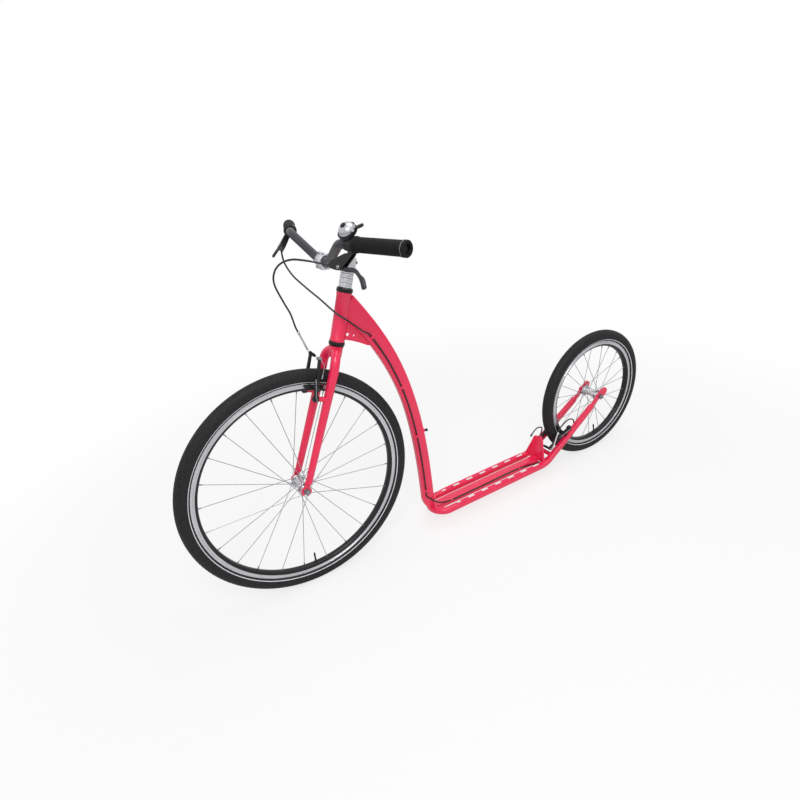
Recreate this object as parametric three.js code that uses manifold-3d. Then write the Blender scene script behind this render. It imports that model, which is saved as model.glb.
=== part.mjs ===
// A kick bike: a foot scooter with a tall front wheel, a low deck and a rim brake on each wheel.
// Lengths are in millimetres. +X points forward, +Y to the rider's left and +Z up.
// The bike is laid out with the front axle above x = 0 and the ground at z = 0, and moved along X
// at the end, so that the origin lies on the ground under the middle of the whole bike.
import * as THREE from "three";
import { mergeVertices } from "three/addons/utils/BufferGeometryUtils.js";
import Module from "manifold-3d";

const wasm = await Module();
wasm.setup();

// Clearances
const seam = 0.3; // between two pieces that touch
const overrun = 3; // how far a cutting shape runs past what it cuts
const turningGap = 0.6; // round a piece that turns
const weldDistance = 0.0001; // corners closer than this are one corner

// Wheels
const frontWheelRadius = 346;
const rearWheelRadius = 244.5;
const wheelbase = 1181;
const tyreWidth = 38;
const tyreHeight = 39; // from the rim's edge to the tread
const tyreWall = 3;
const rimWidth = 24;
const rimDepth = 21;
const rimWall = 2.5;
const brakeTrackHeight = 12;
const rimBedWidth = 13; // the narrow inner side of the rim
const spokeRadius = 1.1;
const spokesPerSide = 12;
const spokeCrossings = 2;
const hubLength = 76; // between the dropouts' inner faces
const hubBarrelRadius = 13;
const hubFlangeRadius = 20;
const hubFlangeThickness = 3;
const hubFlangeSpacing = 52;
const spokeHoleInset = 3.5;
const axleRadius = 5;
const nutRadius = 9;
const nutLength = 9;
const axleTail = 3; // thread that shows past the nut
const valveRadius = 3.2;
const valveLength = 34;
const frontValveAngle = THREE.MathUtils.degToRad(178);
const rearValveAngle = THREE.MathUtils.degToRad(190);

// Steering geometry
const headAngle = THREE.MathUtils.degToRad(70.5);
const rake = 45;
const crownClearance = 65.5; // from the tread to the fork crown's top
const headTubeLength = 129;
const headTubeRadius = 19.5;
const headTubeWall = 1.8;
const steererRadius = 14.3;
const cupRadius = 22;
const cupHeight = 12;

// Fork
const crownHeight = 62;
const crownBossRadius = 19;
const legSpread = 38; // from the middle plane to a leg at the tyre
const legTopRadius = 13;
const legBottomRadius = 9.5;
const legTopForward = 14; // from the steering axis to the top of a leg
const legEndForward = 41.5; // from the steering axis to the foot of a leg
const legEndLift = 26; // from the axle to where a leg turns into its dropout
const dropoutThickness = 6;
const dropoutRadius = 15;

// Stem
const spacerRadius = 17.5;
const spacerStackHeight = 36;
const spacerRings = 3;
const spacerGroove = 1;
const stemClampHeight = 40;
const stemClampRadius = 18.5;
const stemReach = 68;
const stemBodyWidth = 26;
const stemBodyHeight = 24;
const barClampRadius = 12.7;
const barClampWidth = 34;
const barClampWall = 6.5;

// Handlebar, measured from its middle in the stem
const barRadius = 11.1;
const barWall = 2;
const barMiddleHalf = 30;
const bendOut = 152;
const bendForward = 38;
const bendRise = 50;
const barHalfWidth = 337;
const gripEndBack = 24;
const gripEndRise = 66;
const barBendRun = 20; // how far a bend reaches along the bar on each side of its corner
const gripLength = 146;
const gripRadius = 16.5;
const gripCollarRadius = 18;
const gripCollarLength = 9;

// Brake levers
const leverClampWidth = 13;
const leverClampWall = 4.5;
const leverClampInset = 7.5; // from the grip's inner end to the clamp's middle
const leverReach = 50; // from the bar to the lever's pivot
const leverPivotInboard = 34; // from the clamp's middle to the pivot
const leverThickness = 8;
const leverBladeLength = 84;
const leverBladeWidth = 12;
const leverPivotRadius = 3;
const leverPull = THREE.MathUtils.degToRad(24); // from rest to the bar
const bracketThickness = 15;
const barrelInboard = 26; // from the pivot to the bracket's inner end
const barrelRadius = 5;
const barrelLength = 15;
const leftLeverDrop = THREE.MathUtils.degToRad(72); // below level
const rightLeverDrop = THREE.MathUtils.degToRad(45);

// Bell
const bellRadius = 20;
const bellHeight = 17;
const bellWall = 1.5;
const bellClampWidth = 11;
const bellClampWall = 3;
const bellClampGap = 1;
const bellNeckRadius = 5;
const bellNeckReach = 23; // from the bar's axis to the bell's base plate
const bellNeckLean = THREE.MathUtils.degToRad(7); // forward from the steering axis's direction
const bellLean = THREE.MathUtils.degToRad(58); // of the dome's axis, measured the same way
const bellBaseRadius = 8;
const bellBaseHeight = 3;
const bellPostRadius = 2.2;
const bellCapRadius = 4.5;
const bellCapHeight = 2;
const bellLeverThickness = 3;
const bellLeverLength = 36;
const bellLeverTurn = THREE.MathUtils.degToRad(60); // round the post, towards the grip
const bellLeverWidth = 8;

// Rim brakes
const bossDrop = 28; // from the middle of the brake track down to an arm's pivot
const bossSpread = 40; // from the middle plane to an arm's pivot
const bossRootRadius = 7;
const bossRadius = 4.5;
const bossHeadRadius = 6.5;
const bossHeadHeight = 3;
const armLength = 104;
const armFootWidth = 15;
const armTopWidth = 10;
const armThickness = 9;
const armEyeRadius = 9;
const armTopSpread = 31; // from the middle plane to an arm's top
const padGap = 2.2;
const padLength = 52;
const padHeight = 10;
const padThickness = 9;
const padStudRadius = 3;
const noodleRadius = 2.6;
const noodleOut = 14.5; // from the arm's top out to the noodle's bend
const noodleBend = 9;
const noodleForward = 38;
const frontBrakeReach = 12; // from the line between axle and brake square out to the arms
const rearBrakeReach = 19;
const frontNoodleRise = 52;
const rearNoodleRise = -60; // back towards the axle
const ferruleRadius = 3.6;
const ferruleLength = 9;
const bootLength = 26;
const bootRadius = 4.8;
const bootBore = 2.3;
const bootWall = 2;
const wireRadius = 0.7;
const wireInBoot = 4;
const anchorHeight = 8;
const cableRadius = 2.4;
const cableEndGap = 0.5; // between a cable's end and what it runs on into
const cableStep = 12; // between two rings of a cable's skin
const cableLead = 12; // straight run of a cable at each end

// Main tube
const mainTubeWidth = 25;
const mainTubeDepth = 42;
const mainTubeTopDepth = 57; // where it leaves the head tube
const mainTubeDrop = 22; // down the head tube from its top to the main tube's axis
const mainTubeLean = THREE.MathUtils.degToRad(54); // below level, where it leaves the head tube
const mainTubeTopPull = 254; // how far the tube holds its direction at its top
const mainTubeFootPull = 395; // and at its foot
const gussetThickness = 5;
const gussetLength = 64;
const gussetFall = 40; // from the head tube's end to the gusset's back corner
const gussetHoleRadius = 4.5;
const gussetSmallHoleRadius = 2.8;
const pegRadius = 4;
const pegLength = 16;
const pegHeight = 371;
const guideLength = 9;
const guideWall = 1.8;
const cableForward = 11; // from the main tube's middle line to the cable on its side

// Deck
const deckTop = 69;
const deckFront = 413; // from the front axle back to the main tube's foot
const deckLength = 494; // from the main tube's foot to where the rails kink up
const railWidth = 21;
const railHeight = 20;
const railSpread = 47;
const yokeSpread = 19; // half the straight part of the yoke
const yokeDepth = 38; // from the yoke's front bar to where its arms run straight back
const yokeBendRun = 18;
const railBendRun = 24;
const beamWidth = 28;
const beamHeight = 19;
const stripWidth = 16;
const stripThickness = 1;
const stripFrontInset = 32; // from the rails' front ends
const stripRearInset = 10; // from the bend of the rails
const heelPlateHeight = 90;
const heelPlateWidth = 96;
const heelPlateTopWidth = 40;
const heelPlateThickness = 4;
const heelPlateLean = 20;
const heelPlateAhead = 14; // of the kink
const heelPlateHollow = 12; // how far its middle lies behind its edges
const stayTailRadius = 11;
const stayTailHalfWidth = 7.5;
const stayTail = 40; // how far a stay's end plate runs past the axle
const bridgeRadius = 8;
const bridgeBehindKink = 40;

// Shares
const neckShare = 0.85; // of the hub's barrel, where its ends neck down
const spokeRimShare = 0.25; // of the rim's bed, where a spoke meets it
const spokeLiftShare = 0.35; // of a spoke's fall over the flange, made up for at its start
const bootTipShare = 0.75; // of the boot's radius at its ends
const valveTipShare = 0.75;
const boxiness = 0.35; // of a section: one is an ellipse, less is a rounder box
const softness = 0.7;
const flareShare = 0.45; // of the main tube's length, over which its depth falls
const gussetTubeShare = 0.2; // of the main tube's length, where the gusset ends
const gussetBellyShare = 0.2; // of its fall, by which its lower edge bows out
const gussetHoleShares = [0.18, 0.7]; // along the gusset and up it
const gussetSmallHoleShares = [0.46, 0.58];
const guideShares = [0.16, 0.4, 0.63, 0.9]; // of the main tube's length
const mainCableShares = [0.18, 0.23, 0.3, 0.4, 0.5, 0.63, 0.75, 0.87, 0.9, 0.93]; // for the cable
const bladeShares = [
  // along the blade, away from the bar, and the blade's width
  [0, 0, 0.9],
  [0.27, 0.04, 0.9],
  [0.5, 0.035, 0.85],
  [0.6, 0.06, 0.8],
  [0.72, 0.15, 0.75],
  [0.85, 0.26, 0.9],
  [0.93, 0.43, 0.8],
];
const frontCableBows = [
  // share of the way, and the stray along X, Y and Z
  [0.06, 0.12, -0.09, 0.085],
  [0.13, 0.22, -0.155, 0.155],
  [0.24, 0.275, -0.195, 0.195],
  [0.37, 0.29, -0.2, 0.21],
  [0.52, 0.26, -0.19, 0.2],
  [0.71, 0.155, -0.12, 0.13],
  [0.84, 0.075, -0.075, 0.085],
];
const loopBows = [
  [0.08, 0.04, -0.025, -0.035],
  [0.2, 0.07, -0.02, -0.045],
  [0.34, 0.085, 0.015, -0.03],
  [0.52, 0.11, 0.075, 0.01],
  [0.68, 0.14, 0.15, 0.045],
  [0.83, 0.12, 0.15, 0.065],
  [0.93, 0.055, 0.07, 0.03],
];
const stayCableShares = [
  // up from the stays, out from their inner sides, and along them, by the pivots' distance
  [-0.09, 0, 1.58],
  [-0.09, 0, 1.3],
  [-0.09, 0, 1],
  [-0.05, 0, 0.88],
  [0.03, 0, 0.815],
  [0.12, 0.2, 0.8],
  [0.22, 0.54, 0.84],
  [0.3, 0.85, 0.92],
  [0.335, 1, 1.06],
];

// Faceting
const wheelSegments = 44; // a multiple of four, so that the wheel stands on a flat
const tyreOuterSteps = 7; // odd, so that the tread has a flat
const tyreInnerSteps = 3;
const roundSides = 18;
const smallSides = 10;
const sectionSides = 12;

// Derived places
const rimOuterRadius = (wheel) => wheel - tyreHeight;
const brakeTrackRadius = (wheel) => rimOuterRadius(wheel) - brakeTrackHeight / 2;
const armPivotRadius = (wheel) => brakeTrackRadius(wheel) - bossDrop;
const frontAxle = new THREE.Vector3(0, 0, frontWheelRadius);
const rearAxle = new THREE.Vector3(-wheelbase, 0, rearWheelRadius);
const crownTop = frontWheelRadius + crownClearance;
const headTubeBottom = crownTop + cupHeight + seam + seam;
const headTubeTop = headTubeBottom + headTubeLength;
const spacerBottom = headTubeTop + cupHeight + seam + seam;
const stemMiddle = spacerBottom + spacerStackHeight + stemClampHeight / 2 + seam;
const dropoutInner = hubLength / 2 + seam;
const dropoutOuter = dropoutInner + dropoutThickness;
const dropoutMiddle = (dropoutInner + dropoutOuter) / 2;

// Vectors
const v = (x, y, z) => new THREE.Vector3(x, y, z);
const between = (a, b, share) => a.clone().lerp(b, share);
const lerp = THREE.MathUtils.lerp;
const forward = v(1, 0, 0);
const leftward = v(0, 1, 0);
const upward = v(0, 0, 1);
const hands = [
  ["left", 1],
  ["right", -1],
];

// The steering frame stands on the steering axis: local Z runs up the axis, and local X forward
// from it. Its origin is level with the front axle, which lies one rake ahead of it.
const steeringTilt = -(Math.PI / 2 - headAngle);
const steeringFrame = new THREE.Matrix4()
  .makeRotationY(steeringTilt)
  .setPosition(
    frontAxle.x - rake * Math.sin(headAngle),
    0,
    frontAxle.z - rake * Math.cos(headAngle),
  );
const onSteering = (x, y, z) => v(x, y, z).applyMatrix4(steeringFrame);

// Solids
function tidy(geometry) {
  const plain = geometry.index ? geometry.toNonIndexed() : geometry.clone();
  plain.deleteAttribute("normal");
  plain.deleteAttribute("uv");
  const merged = mergeVertices(plain, weldDistance);
  if (signedVolume(merged) < 0) {
    const order = merged.index.array;
    for (let i = 0; i < order.length; i += 3) {
      [order[i + 1], order[i + 2]] = [order[i + 2], order[i + 1]];
    }
  }
  return merged;
}

function signedVolume(geometry) {
  const place = geometry.attributes.position;
  const order = geometry.index.array;
  const corner = (i) => new THREE.Vector3().fromBufferAttribute(place, order[i]);
  let volume = 0;
  for (let i = 0; i < order.length; i += 3) {
    volume += corner(i).dot(corner(i + 1).cross(corner(i + 2)));
  }
  return volume / 6;
}

function toSolid(geometry) {
  const merged = tidy(geometry);
  return new wasm.Manifold(
    new wasm.Mesh({
      numProp: 3,
      vertProperties: new Float32Array(merged.attributes.position.array),
      triVerts: new Uint32Array(merged.index.array),
    }),
  );
}

function toGeometry(solid) {
  const mesh = solid.getMesh();
  return new THREE.BufferGeometry()
    .setAttribute("position", new THREE.BufferAttribute(mesh.vertProperties, 3))
    .setIndex(new THREE.BufferAttribute(mesh.triVerts, 1));
}

const join = (first, ...rest) =>
  toGeometry(rest.reduce((whole, piece) => whole.add(toSolid(piece)), toSolid(first)));
const cut = (first, ...rest) =>
  toGeometry(rest.reduce((whole, piece) => whole.subtract(toSolid(piece)), toSolid(first)));
const common = (first, second) => toGeometry(toSolid(first).intersect(toSolid(second)));

// Shapes
function turned(profile, segments, axis = leftward) {
  const points = profile.map(([radius, along]) => new THREE.Vector2(radius, along));
  const geometry = new THREE.LatheGeometry(points, segments);
  const turn = new THREE.Quaternion().setFromUnitVectors(leftward, axis);
  return geometry.applyQuaternion(turn);
}

function rod(start, end, radius, sides = smallSides, endRadius = radius) {
  const along = end.clone().sub(start);
  const geometry = new THREE.CylinderGeometry(endRadius, radius, along.length(), sides);
  const turn = new THREE.Quaternion().setFromUnitVectors(leftward, along.normalize());
  return geometry.applyQuaternion(turn).translate(...between(start, end, 1 / 2).toArray());
}

function ringTube(start, end, outer, inner, sides = roundSides) {
  const along = end.clone().sub(start);
  const half = along.length() / 2;
  const profile = [
    [inner, -half],
    [outer, -half],
    [outer, half],
    [inner, half],
    [inner, -half],
  ];
  return turned(profile, sides, along.normalize()).translate(
    ...between(start, end, 1 / 2).toArray(),
  );
}

function box(low, high) {
  const size = high.clone().sub(low);
  const middle = between(low, high, 1 / 2);
  return new THREE.BoxGeometry(Math.abs(size.x), Math.abs(size.y), Math.abs(size.z)).translate(
    ...middle.toArray(),
  );
}

// A skin over rings of points, closed at both ends.
function loft(rings) {
  const count = rings[0].length;
  const places = rings.flat().flatMap((point) => point.toArray());
  const order = [];
  for (let row = 0; row + 1 < rings.length; row += 1) {
    for (let i = 0; i < count; i += 1) {
      const a = row * count + i;
      const b = row * count + ((i + 1) % count);
      order.push(a, b, b + count, a, b + count, a + count);
    }
  }
  const last = (rings.length - 1) * count;
  for (let i = 1; i + 1 < count; i += 1) {
    order.push(0, i + 1, i, last, last + i, last + i + 1);
  }
  return new THREE.BufferGeometry()
    .setAttribute("position", new THREE.Float32BufferAttribute(places, 3))
    .setIndex(order);
}

// A ring of points whose flats lie at the half sizes. Squareness one gives an ellipse, less gives
// a rounded box.
function ring(centre, side, up, halfSide, halfUp, sides, squareness = 1) {
  const soften = (value) => Math.sign(value) * Math.abs(value) ** squareness;
  const reach = soften(Math.cos(Math.PI / sides));
  return Array.from({ length: sides }, (_, i) => {
    const angle = ((i + 1 / 2) / sides) * 2 * Math.PI;
    return centre
      .clone()
      .addScaledVector(side, (halfSide * soften(Math.cos(angle))) / reach)
      .addScaledVector(up, (halfUp * soften(Math.sin(angle))) / reach);
  });
}

// A bar along a curve, with a ring at each of the given shares of its length. Its width lies as
// near as it can to one fixed side direction.
function bar(curve, stops, side, halves, sides, squareness) {
  const rings = stops.map((share) => {
    const along = curve.getTangentAt(share);
    const across = side.clone().addScaledVector(along, -side.dot(along)).normalize();
    const up = across.clone().cross(along);
    const [halfSide, halfUp] = halves(share);
    return ring(curve.getPointAt(share), across, up, halfSide, halfUp, sides, squareness);
  });
  return loft(rings);
}

const evenStops = (steps) => Array.from({ length: steps + 1 }, (_, i) => i / steps);

// Straight runs joined by bends, each of which reaches the same way along the runs beside it.
function bentPath(points, run) {
  const path = new THREE.CurvePath();
  let from = points[0];
  for (let i = 1; i + 1 < points.length; i += 1) {
    const back = points[i - 1].clone().sub(points[i]).normalize();
    const on = points[i + 1].clone().sub(points[i]).normalize();
    const start = points[i].clone().addScaledVector(back, run);
    const end = points[i].clone().addScaledVector(on, run);
    path.add(new THREE.LineCurve3(from, start));
    path.add(new THREE.QuadraticBezierCurve3(start, points[i], end));
    from = end;
  }
  path.add(new THREE.LineCurve3(from, points[points.length - 1]));
  return path;
}

// The shares of a bent path's length at the ends of its runs and in steps round its bends.
function bentStops(path, bendSteps) {
  const lengths = path.getCurveLengths();
  const whole = path.getLength();
  const stops = [0];
  path.curves.forEach((curve, i) => {
    const start = i ? lengths[i - 1] : 0;
    const steps = curve.isLineCurve3 ? 1 : bendSteps;
    for (let step = 1; step <= steps; step += 1) {
      stops.push(lerp(start, lengths[i], step / steps) / whole);
    }
  });
  return stops;
}

const circle = (x, y, radius, sides) =>
  Array.from({ length: sides }, (_, i) => {
    const angle = (i / sides) * 2 * Math.PI;
    return new THREE.Vector2(x + radius * Math.cos(angle), y + radius * Math.sin(angle));
  });

// A flat plate in the X-Y plane from an outline and round holes.
function plate(outline, thickness, holes = []) {
  const shape = new THREE.Shape(outline.map(([x, y]) => new THREE.Vector2(x, y)));
  shape.holes = holes.map(([x, y, radius]) => new THREE.Path(circle(x, y, radius, sectionSides)));
  return new THREE.ExtrudeGeometry(shape, { depth: thickness, bevelEnabled: false }).translate(
    0,
    0,
    -thickness / 2,
  );
}

// A plate that stands in the X-Z plane.
const uprightPlate = (outline, thickness, holes) =>
  plate(outline, thickness, holes).rotateX(Math.PI / 2);

// A cord through a row of places.
function cordGeometry(points) {
  const curve = new THREE.CatmullRomCurve3(points, false, "centripetal");
  return new THREE.ExtrudeGeometry(new THREE.Shape(circle(0, 0, cableRadius, 8)), {
    steps: Math.min(80, Math.ceil(curve.getLength() / cableStep)),
    extrudePath: curve,
    bevelEnabled: false,
  });
}

// A cord's places between its two ends. Each bow is a share of the way, and how far the cord
// strays from the straight line there along X, Y and Z, in shares of the way's length.
function bowed(start, end, bows) {
  const reach = start.distanceTo(end);
  return bows.map(([share, x, y, z]) =>
    between(start, end, share).add(v(x, y, z).multiplyScalar(reach)),
  );
}

// A closed sheet from two matching grids of points, row by row.
function sheetSolid(front, back, rows, columns) {
  const count = front.length;
  const places = [...front, ...back].flatMap((point) => point.toArray());
  const order = [];
  const quad = (a, b, c, d) => order.push(a, b, c, a, c, d);
  const at = (row, column) => row * (columns + 1) + column;
  for (let row = 0; row < rows; row += 1) {
    for (let column = 0; column < columns; column += 1) {
      const [a, b] = [at(row, column), at(row, column + 1)];
      const [d, c] = [at(row + 1, column), at(row + 1, column + 1)];
      quad(a, b, c, d);
      quad(count + d, count + c, count + b, count + a);
    }
    const [left, leftUp] = [at(row, 0), at(row + 1, 0)];
    const [right, rightUp] = [at(row, columns), at(row + 1, columns)];
    quad(left, leftUp, count + leftUp, count + left);
    quad(rightUp, right, count + right, count + rightUp);
  }
  for (let column = 0; column < columns; column += 1) {
    const [low, lowNext] = [at(0, column), at(0, column + 1)];
    const [high, highNext] = [at(rows, column), at(rows, column + 1)];
    quad(lowNext, low, count + low, count + lowNext);
    quad(high, highNext, count + highNext, count + high);
  }
  return new THREE.BufferGeometry()
    .setAttribute("position", new THREE.Float32BufferAttribute(places, 3))
    .setIndex(order);
}

// Materials
const material = (color, roughness, metalness) =>
  new THREE.MeshStandardMaterial({ color, roughness, metalness });
const framePaint = material(0xe93c64, 0.35, 0.1);
const blackAlloy = material(0x1c1c1f, 0.45, 0.5);
const barAlloy = material(0x3c3e42, 0.4, 0.6);
const silverAlloy = material(0xc9cacc, 0.3, 0.9);
const steelWire = material(0xd0d1d4, 0.25, 1);
const rubber = material(0x161617, 0.8, 0);
const tyreRubber = material(0x19191b, 0.85, 0);
const rimAlloy = material(0xbfc0c4, 0.3, 0.9);
const cableBlack = material(0x0e0e10, 0.5, 0);
const bellChrome = material(0xe2e3e6, 0.12, 1);
const stripWhite = material(0xe6e1e0, 0.7, 0);

const bike = new THREE.Group();

// A group that stands in a frame of its own.
function framed(matrix) {
  const group = new THREE.Group();
  group.applyMatrix4(matrix);
  bike.add(group);
  return group;
}

const steering = framed(steeringFrame);

function add(group, name, geometry, finish) {
  const clean = tidy(geometry);
  clean.computeVertexNormals();
  const mesh = new THREE.Mesh(clean, finish);
  mesh.name = name;
  group.add(mesh);
}

// Wheels
const toFacet = 1 / Math.cos(Math.PI / wheelSegments); // corner radius over flat radius

function wheelLathe(profile) {
  const corners = profile.map(([radius, along]) => [radius * toFacet, along]);
  return turned(corners, wheelSegments).rotateY(Math.PI / wheelSegments);
}

// The tyre is a round casing, open along the rim.
function tyreGeometry(wheelRadius) {
  const rimEdge = rimOuterRadius(wheelRadius) + seam;
  const halfWidth = tyreWidth / 2;
  const beadAngle = Math.acos(rimWidth / tyreWidth);
  const treadAngle = Math.PI / 2 - (Math.PI / 2 + beadAngle) / tyreOuterSteps;
  const halfHeight = (wheelRadius - rimEdge) / (Math.sin(treadAngle) + Math.sin(beadAngle));
  const middle = rimEdge + halfHeight * Math.sin(beadAngle);
  const arc = (steps, wall) =>
    evenStops(steps).map((share) => {
      const angle = lerp(-beadAngle, Math.PI + beadAngle, share);
      const radius = middle + (halfHeight - wall) * Math.sin(angle);
      return [Math.max(radius, rimEdge), (halfWidth - wall) * Math.cos(angle)];
    });
  const outer = arc(tyreOuterSteps, 0);
  const inner = arc(tyreInnerSteps, tyreWall).reverse();
  return wheelLathe([...outer, ...inner, outer[0]]);
}

// The rim is a channel, with an upright brake track on each side and a narrow bed.
function rimGeometry(wheelRadius) {
  const outer = rimOuterRadius(wheelRadius);
  const track = outer - brakeTrackHeight;
  const bed = outer - rimDepth;
  const half = rimWidth / 2;
  const bedHalf = rimBedWidth / 2;
  const skin = [
    [outer, half],
    [track, half],
    [bed, bedHalf],
    [bed, -bedHalf],
    [track, -half],
    [outer, -half],
  ];
  const lining = [
    [outer, rimWall - half],
    [bed + rimWall, rimWall - bedHalf],
    [bed + rimWall, bedHalf - rimWall],
    [outer, half - rimWall],
  ];
  return wheelLathe([...skin, ...lining, skin[0]]);
}

function hubGeometry() {
  const inside = axleRadius + turningGap;
  const end = hubLength / 2 - turningGap;
  const flangeOut = (hubFlangeSpacing + hubFlangeThickness) / 2;
  const flangeIn = flangeOut - hubFlangeThickness;
  const neck = hubBarrelRadius * neckShare;
  const half = [
    [neck, end],
    [neck, flangeOut],
    [hubFlangeRadius, flangeOut],
    [hubFlangeRadius, flangeIn],
    [hubBarrelRadius, flangeIn],
  ];
  const mirrored = half.map(([radius, along]) => [radius, -along]).reverse();
  return turned([[inside, end], ...half, ...mirrored, [inside, -end], [inside, end]], roundSides);
}

// One side's spokes, laced so that each crosses others and joined where they cross.
function spokesGeometry(wheelRadius, side, valveAngle) {
  const holeRadius = hubFlangeRadius - spokeHoleInset;
  const rimReach = rimOuterRadius(wheelRadius) - rimDepth - seam;
  const flangeOut = (hubFlangeSpacing + hubFlangeThickness) / 2;
  const lift = (hubFlangeRadius * flangeOut * spokeLiftShare) / rimReach;
  const hubOut = flangeOut + spokeRadius + seam + lift;
  const rimOut = rimBedWidth * spokeRimShare;
  const pitch = (2 * Math.PI) / spokesPerSide;
  const lead = spokeCrossings * pitch;
  const phase = valveAngle + pitch / 4 + (side > 0 ? 0 : pitch / 2);
  const at = (radius, angle, out) =>
    v(radius * Math.sin(angle), side * out, radius * Math.cos(angle));
  const wires = Array.from({ length: spokesPerSide }, (_, i) => {
    const hubAngle = i * pitch + phase;
    const rimAngle = hubAngle + (i % 2 ? -lead : lead);
    return rod(at(holeRadius, hubAngle, hubOut), at(rimReach, rimAngle, rimOut), spokeRadius, 3);
  });
  return join(...wires);
}

function valveGeometry(wheelRadius, angle) {
  const base = rimOuterRadius(wheelRadius) - rimDepth - seam;
  const at = (radius) => v(radius * Math.sin(angle), 0, radius * Math.cos(angle));
  return rod(at(base), at(base - valveLength), valveRadius, 8, valveRadius * valveTipShare);
}

function axleGeometry() {
  const nutStart = dropoutOuter + seam;
  const nutEnd = nutStart + nutLength;
  const end = nutEnd + axleTail;
  const nut = (side) => rod(v(0, side * nutStart, 0), v(0, side * nutEnd, 0), nutRadius, 6);
  return join(rod(v(0, -end, 0), v(0, end, 0), axleRadius), nut(1), nut(-1));
}

function addWheel(name, wheelRadius, axle, valveAngle) {
  const wheel = framed(new THREE.Matrix4().setPosition(axle));
  add(wheel, name + "_tyre", tyreGeometry(wheelRadius), tyreRubber);
  add(wheel, name + "_rim", rimGeometry(wheelRadius), rimAlloy);
  add(wheel, name + "_hub", hubGeometry(), silverAlloy);
  add(wheel, name + "_spokes_left", spokesGeometry(wheelRadius, 1, valveAngle), steelWire);
  add(wheel, name + "_spokes_right", spokesGeometry(wheelRadius, -1, valveAngle), steelWire);
  add(wheel, name + "_valve", valveGeometry(wheelRadius, valveAngle), blackAlloy);
  add(wheel, name + "_axle", axleGeometry(), silverAlloy);
}

addWheel("front", frontWheelRadius, frontAxle, frontValveAngle);
addWheel("rear", rearWheelRadius, rearAxle, rearValveAngle);

// The boss that a brake arm turns on: a root, a post through the arm and a head in front of it.
function bossGeometry(foot, pivot) {
  const out = pivot.clone().sub(foot).normalize();
  const back = pivot.clone().addScaledVector(out, -armThickness / 2 - seam);
  const front = pivot.clone().addScaledVector(out, armThickness / 2 + seam);
  const end = front.clone().addScaledVector(out, bossHeadHeight);
  return join(
    rod(foot, back, bossRootRadius),
    rod(foot, end, bossRadius),
    rod(front, end, bossHeadRadius, 6),
  );
}

// Fork, in the steering frame
const crownBottom = crownTop - crownHeight;
const legTop = (side) => v(legTopForward, side * legSpread, crownBottom);
const legFoot = (side) => v(legEndForward, side * dropoutMiddle, legEndLift);

function crownGeometry() {
  const boss = rod(
    v(0, 0, crownTop - crownHeight / 2),
    v(0, 0, crownTop),
    crownBossRadius,
    roundSides,
  );
  const shoulder = (side) => {
    const curve = new THREE.QuadraticBezierCurve3(
      v(0, 0, crownTop - legTopRadius),
      v(legTopForward, side * legSpread, crownTop - legTopRadius),
      legTop(side),
    );
    const halves = () => [legTopRadius, legTopRadius];
    return bar(curve, evenStops(6), forward, halves, sectionSides);
  };
  return join(boss, shoulder(1), shoulder(-1));
}

// Where a leg's middle line passes a height.
function legAt(side, height) {
  const share = (crownBottom - height) / (crownBottom - legEndLift);
  return between(legTop(side), legFoot(side), share);
}

// A round tab about an axle, open below, with a neck up to the tube that it grows out of.
function dropoutGeometry(side) {
  const [inner, outer] = [side * dropoutInner, side * dropoutOuter];
  const disc = rod(v(0, inner, 0), v(0, outer, 0), dropoutRadius, roundSides);
  const neck = box(v(-legBottomRadius, inner, 0), v(legBottomRadius, outer, legEndLift));
  return cut(join(disc, neck), axleSlot());
}

// The room for an axle at the origin and for the way down out of its dropouts.
function axleSlot() {
  const half = axleRadius + seam;
  const reach = dropoutOuter + overrun;
  const round = rod(v(0, -reach, 0), v(0, reach, 0), half, roundSides);
  return join(round, box(v(-half, -reach, -dropoutRadius - overrun), v(half, reach, 0)));
}

function legGeometry(side) {
  const top = legTop(side).add(v(0, 0, -seam));
  const foot = legFoot(side);
  const rings = [top, foot].map((centre, i) => {
    const radius = i ? legBottomRadius : legTopRadius;
    return ring(centre, forward, leftward, radius, radius, sectionSides);
  });
  const pivotHeight = armPivotRadius(frontWheelRadius);
  const middle = legAt(side, pivotHeight);
  const boss = bossGeometry(
    v(middle.x, side * bossSpread, pivotHeight),
    v(rake + frontBrakeReach, side * bossSpread, pivotHeight),
  );
  return join(loft(rings), dropoutGeometry(side).translate(rake, 0, 0), boss);
}

add(steering, "fork_crown", crownGeometry(), framePaint);
add(steering, "fork_leg_left", legGeometry(1), framePaint);
add(steering, "fork_leg_right", legGeometry(-1), framePaint);
add(
  steering,
  "steerer_tube",
  rod(
    v(0, 0, crownTop + seam),
    v(0, 0, stemMiddle + stemClampHeight / 2),
    steererRadius,
    roundSides,
  ),
  silverAlloy,
);

// Head tube and headset, in the steering frame
function cupGeometry(low) {
  const high = low + cupHeight;
  const bore = steererRadius + turningGap;
  const bevel = cupHeight / 4;
  const profile = [
    [bore, low],
    [cupRadius - bevel, low],
    [cupRadius, low + bevel],
    [cupRadius, high - bevel],
    [cupRadius - bevel, high],
    [bore, high],
    [bore, low],
  ];
  return turned(profile, roundSides, upward);
}

add(
  steering,
  "head_tube",
  ringTube(
    v(0, 0, headTubeBottom),
    v(0, 0, headTubeTop),
    headTubeRadius,
    headTubeRadius - headTubeWall,
  ),
  framePaint,
);
add(steering, "headset_lower", cupGeometry(crownTop + seam), blackAlloy);
add(steering, "headset_upper", cupGeometry(headTubeTop + seam), blackAlloy);

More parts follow.
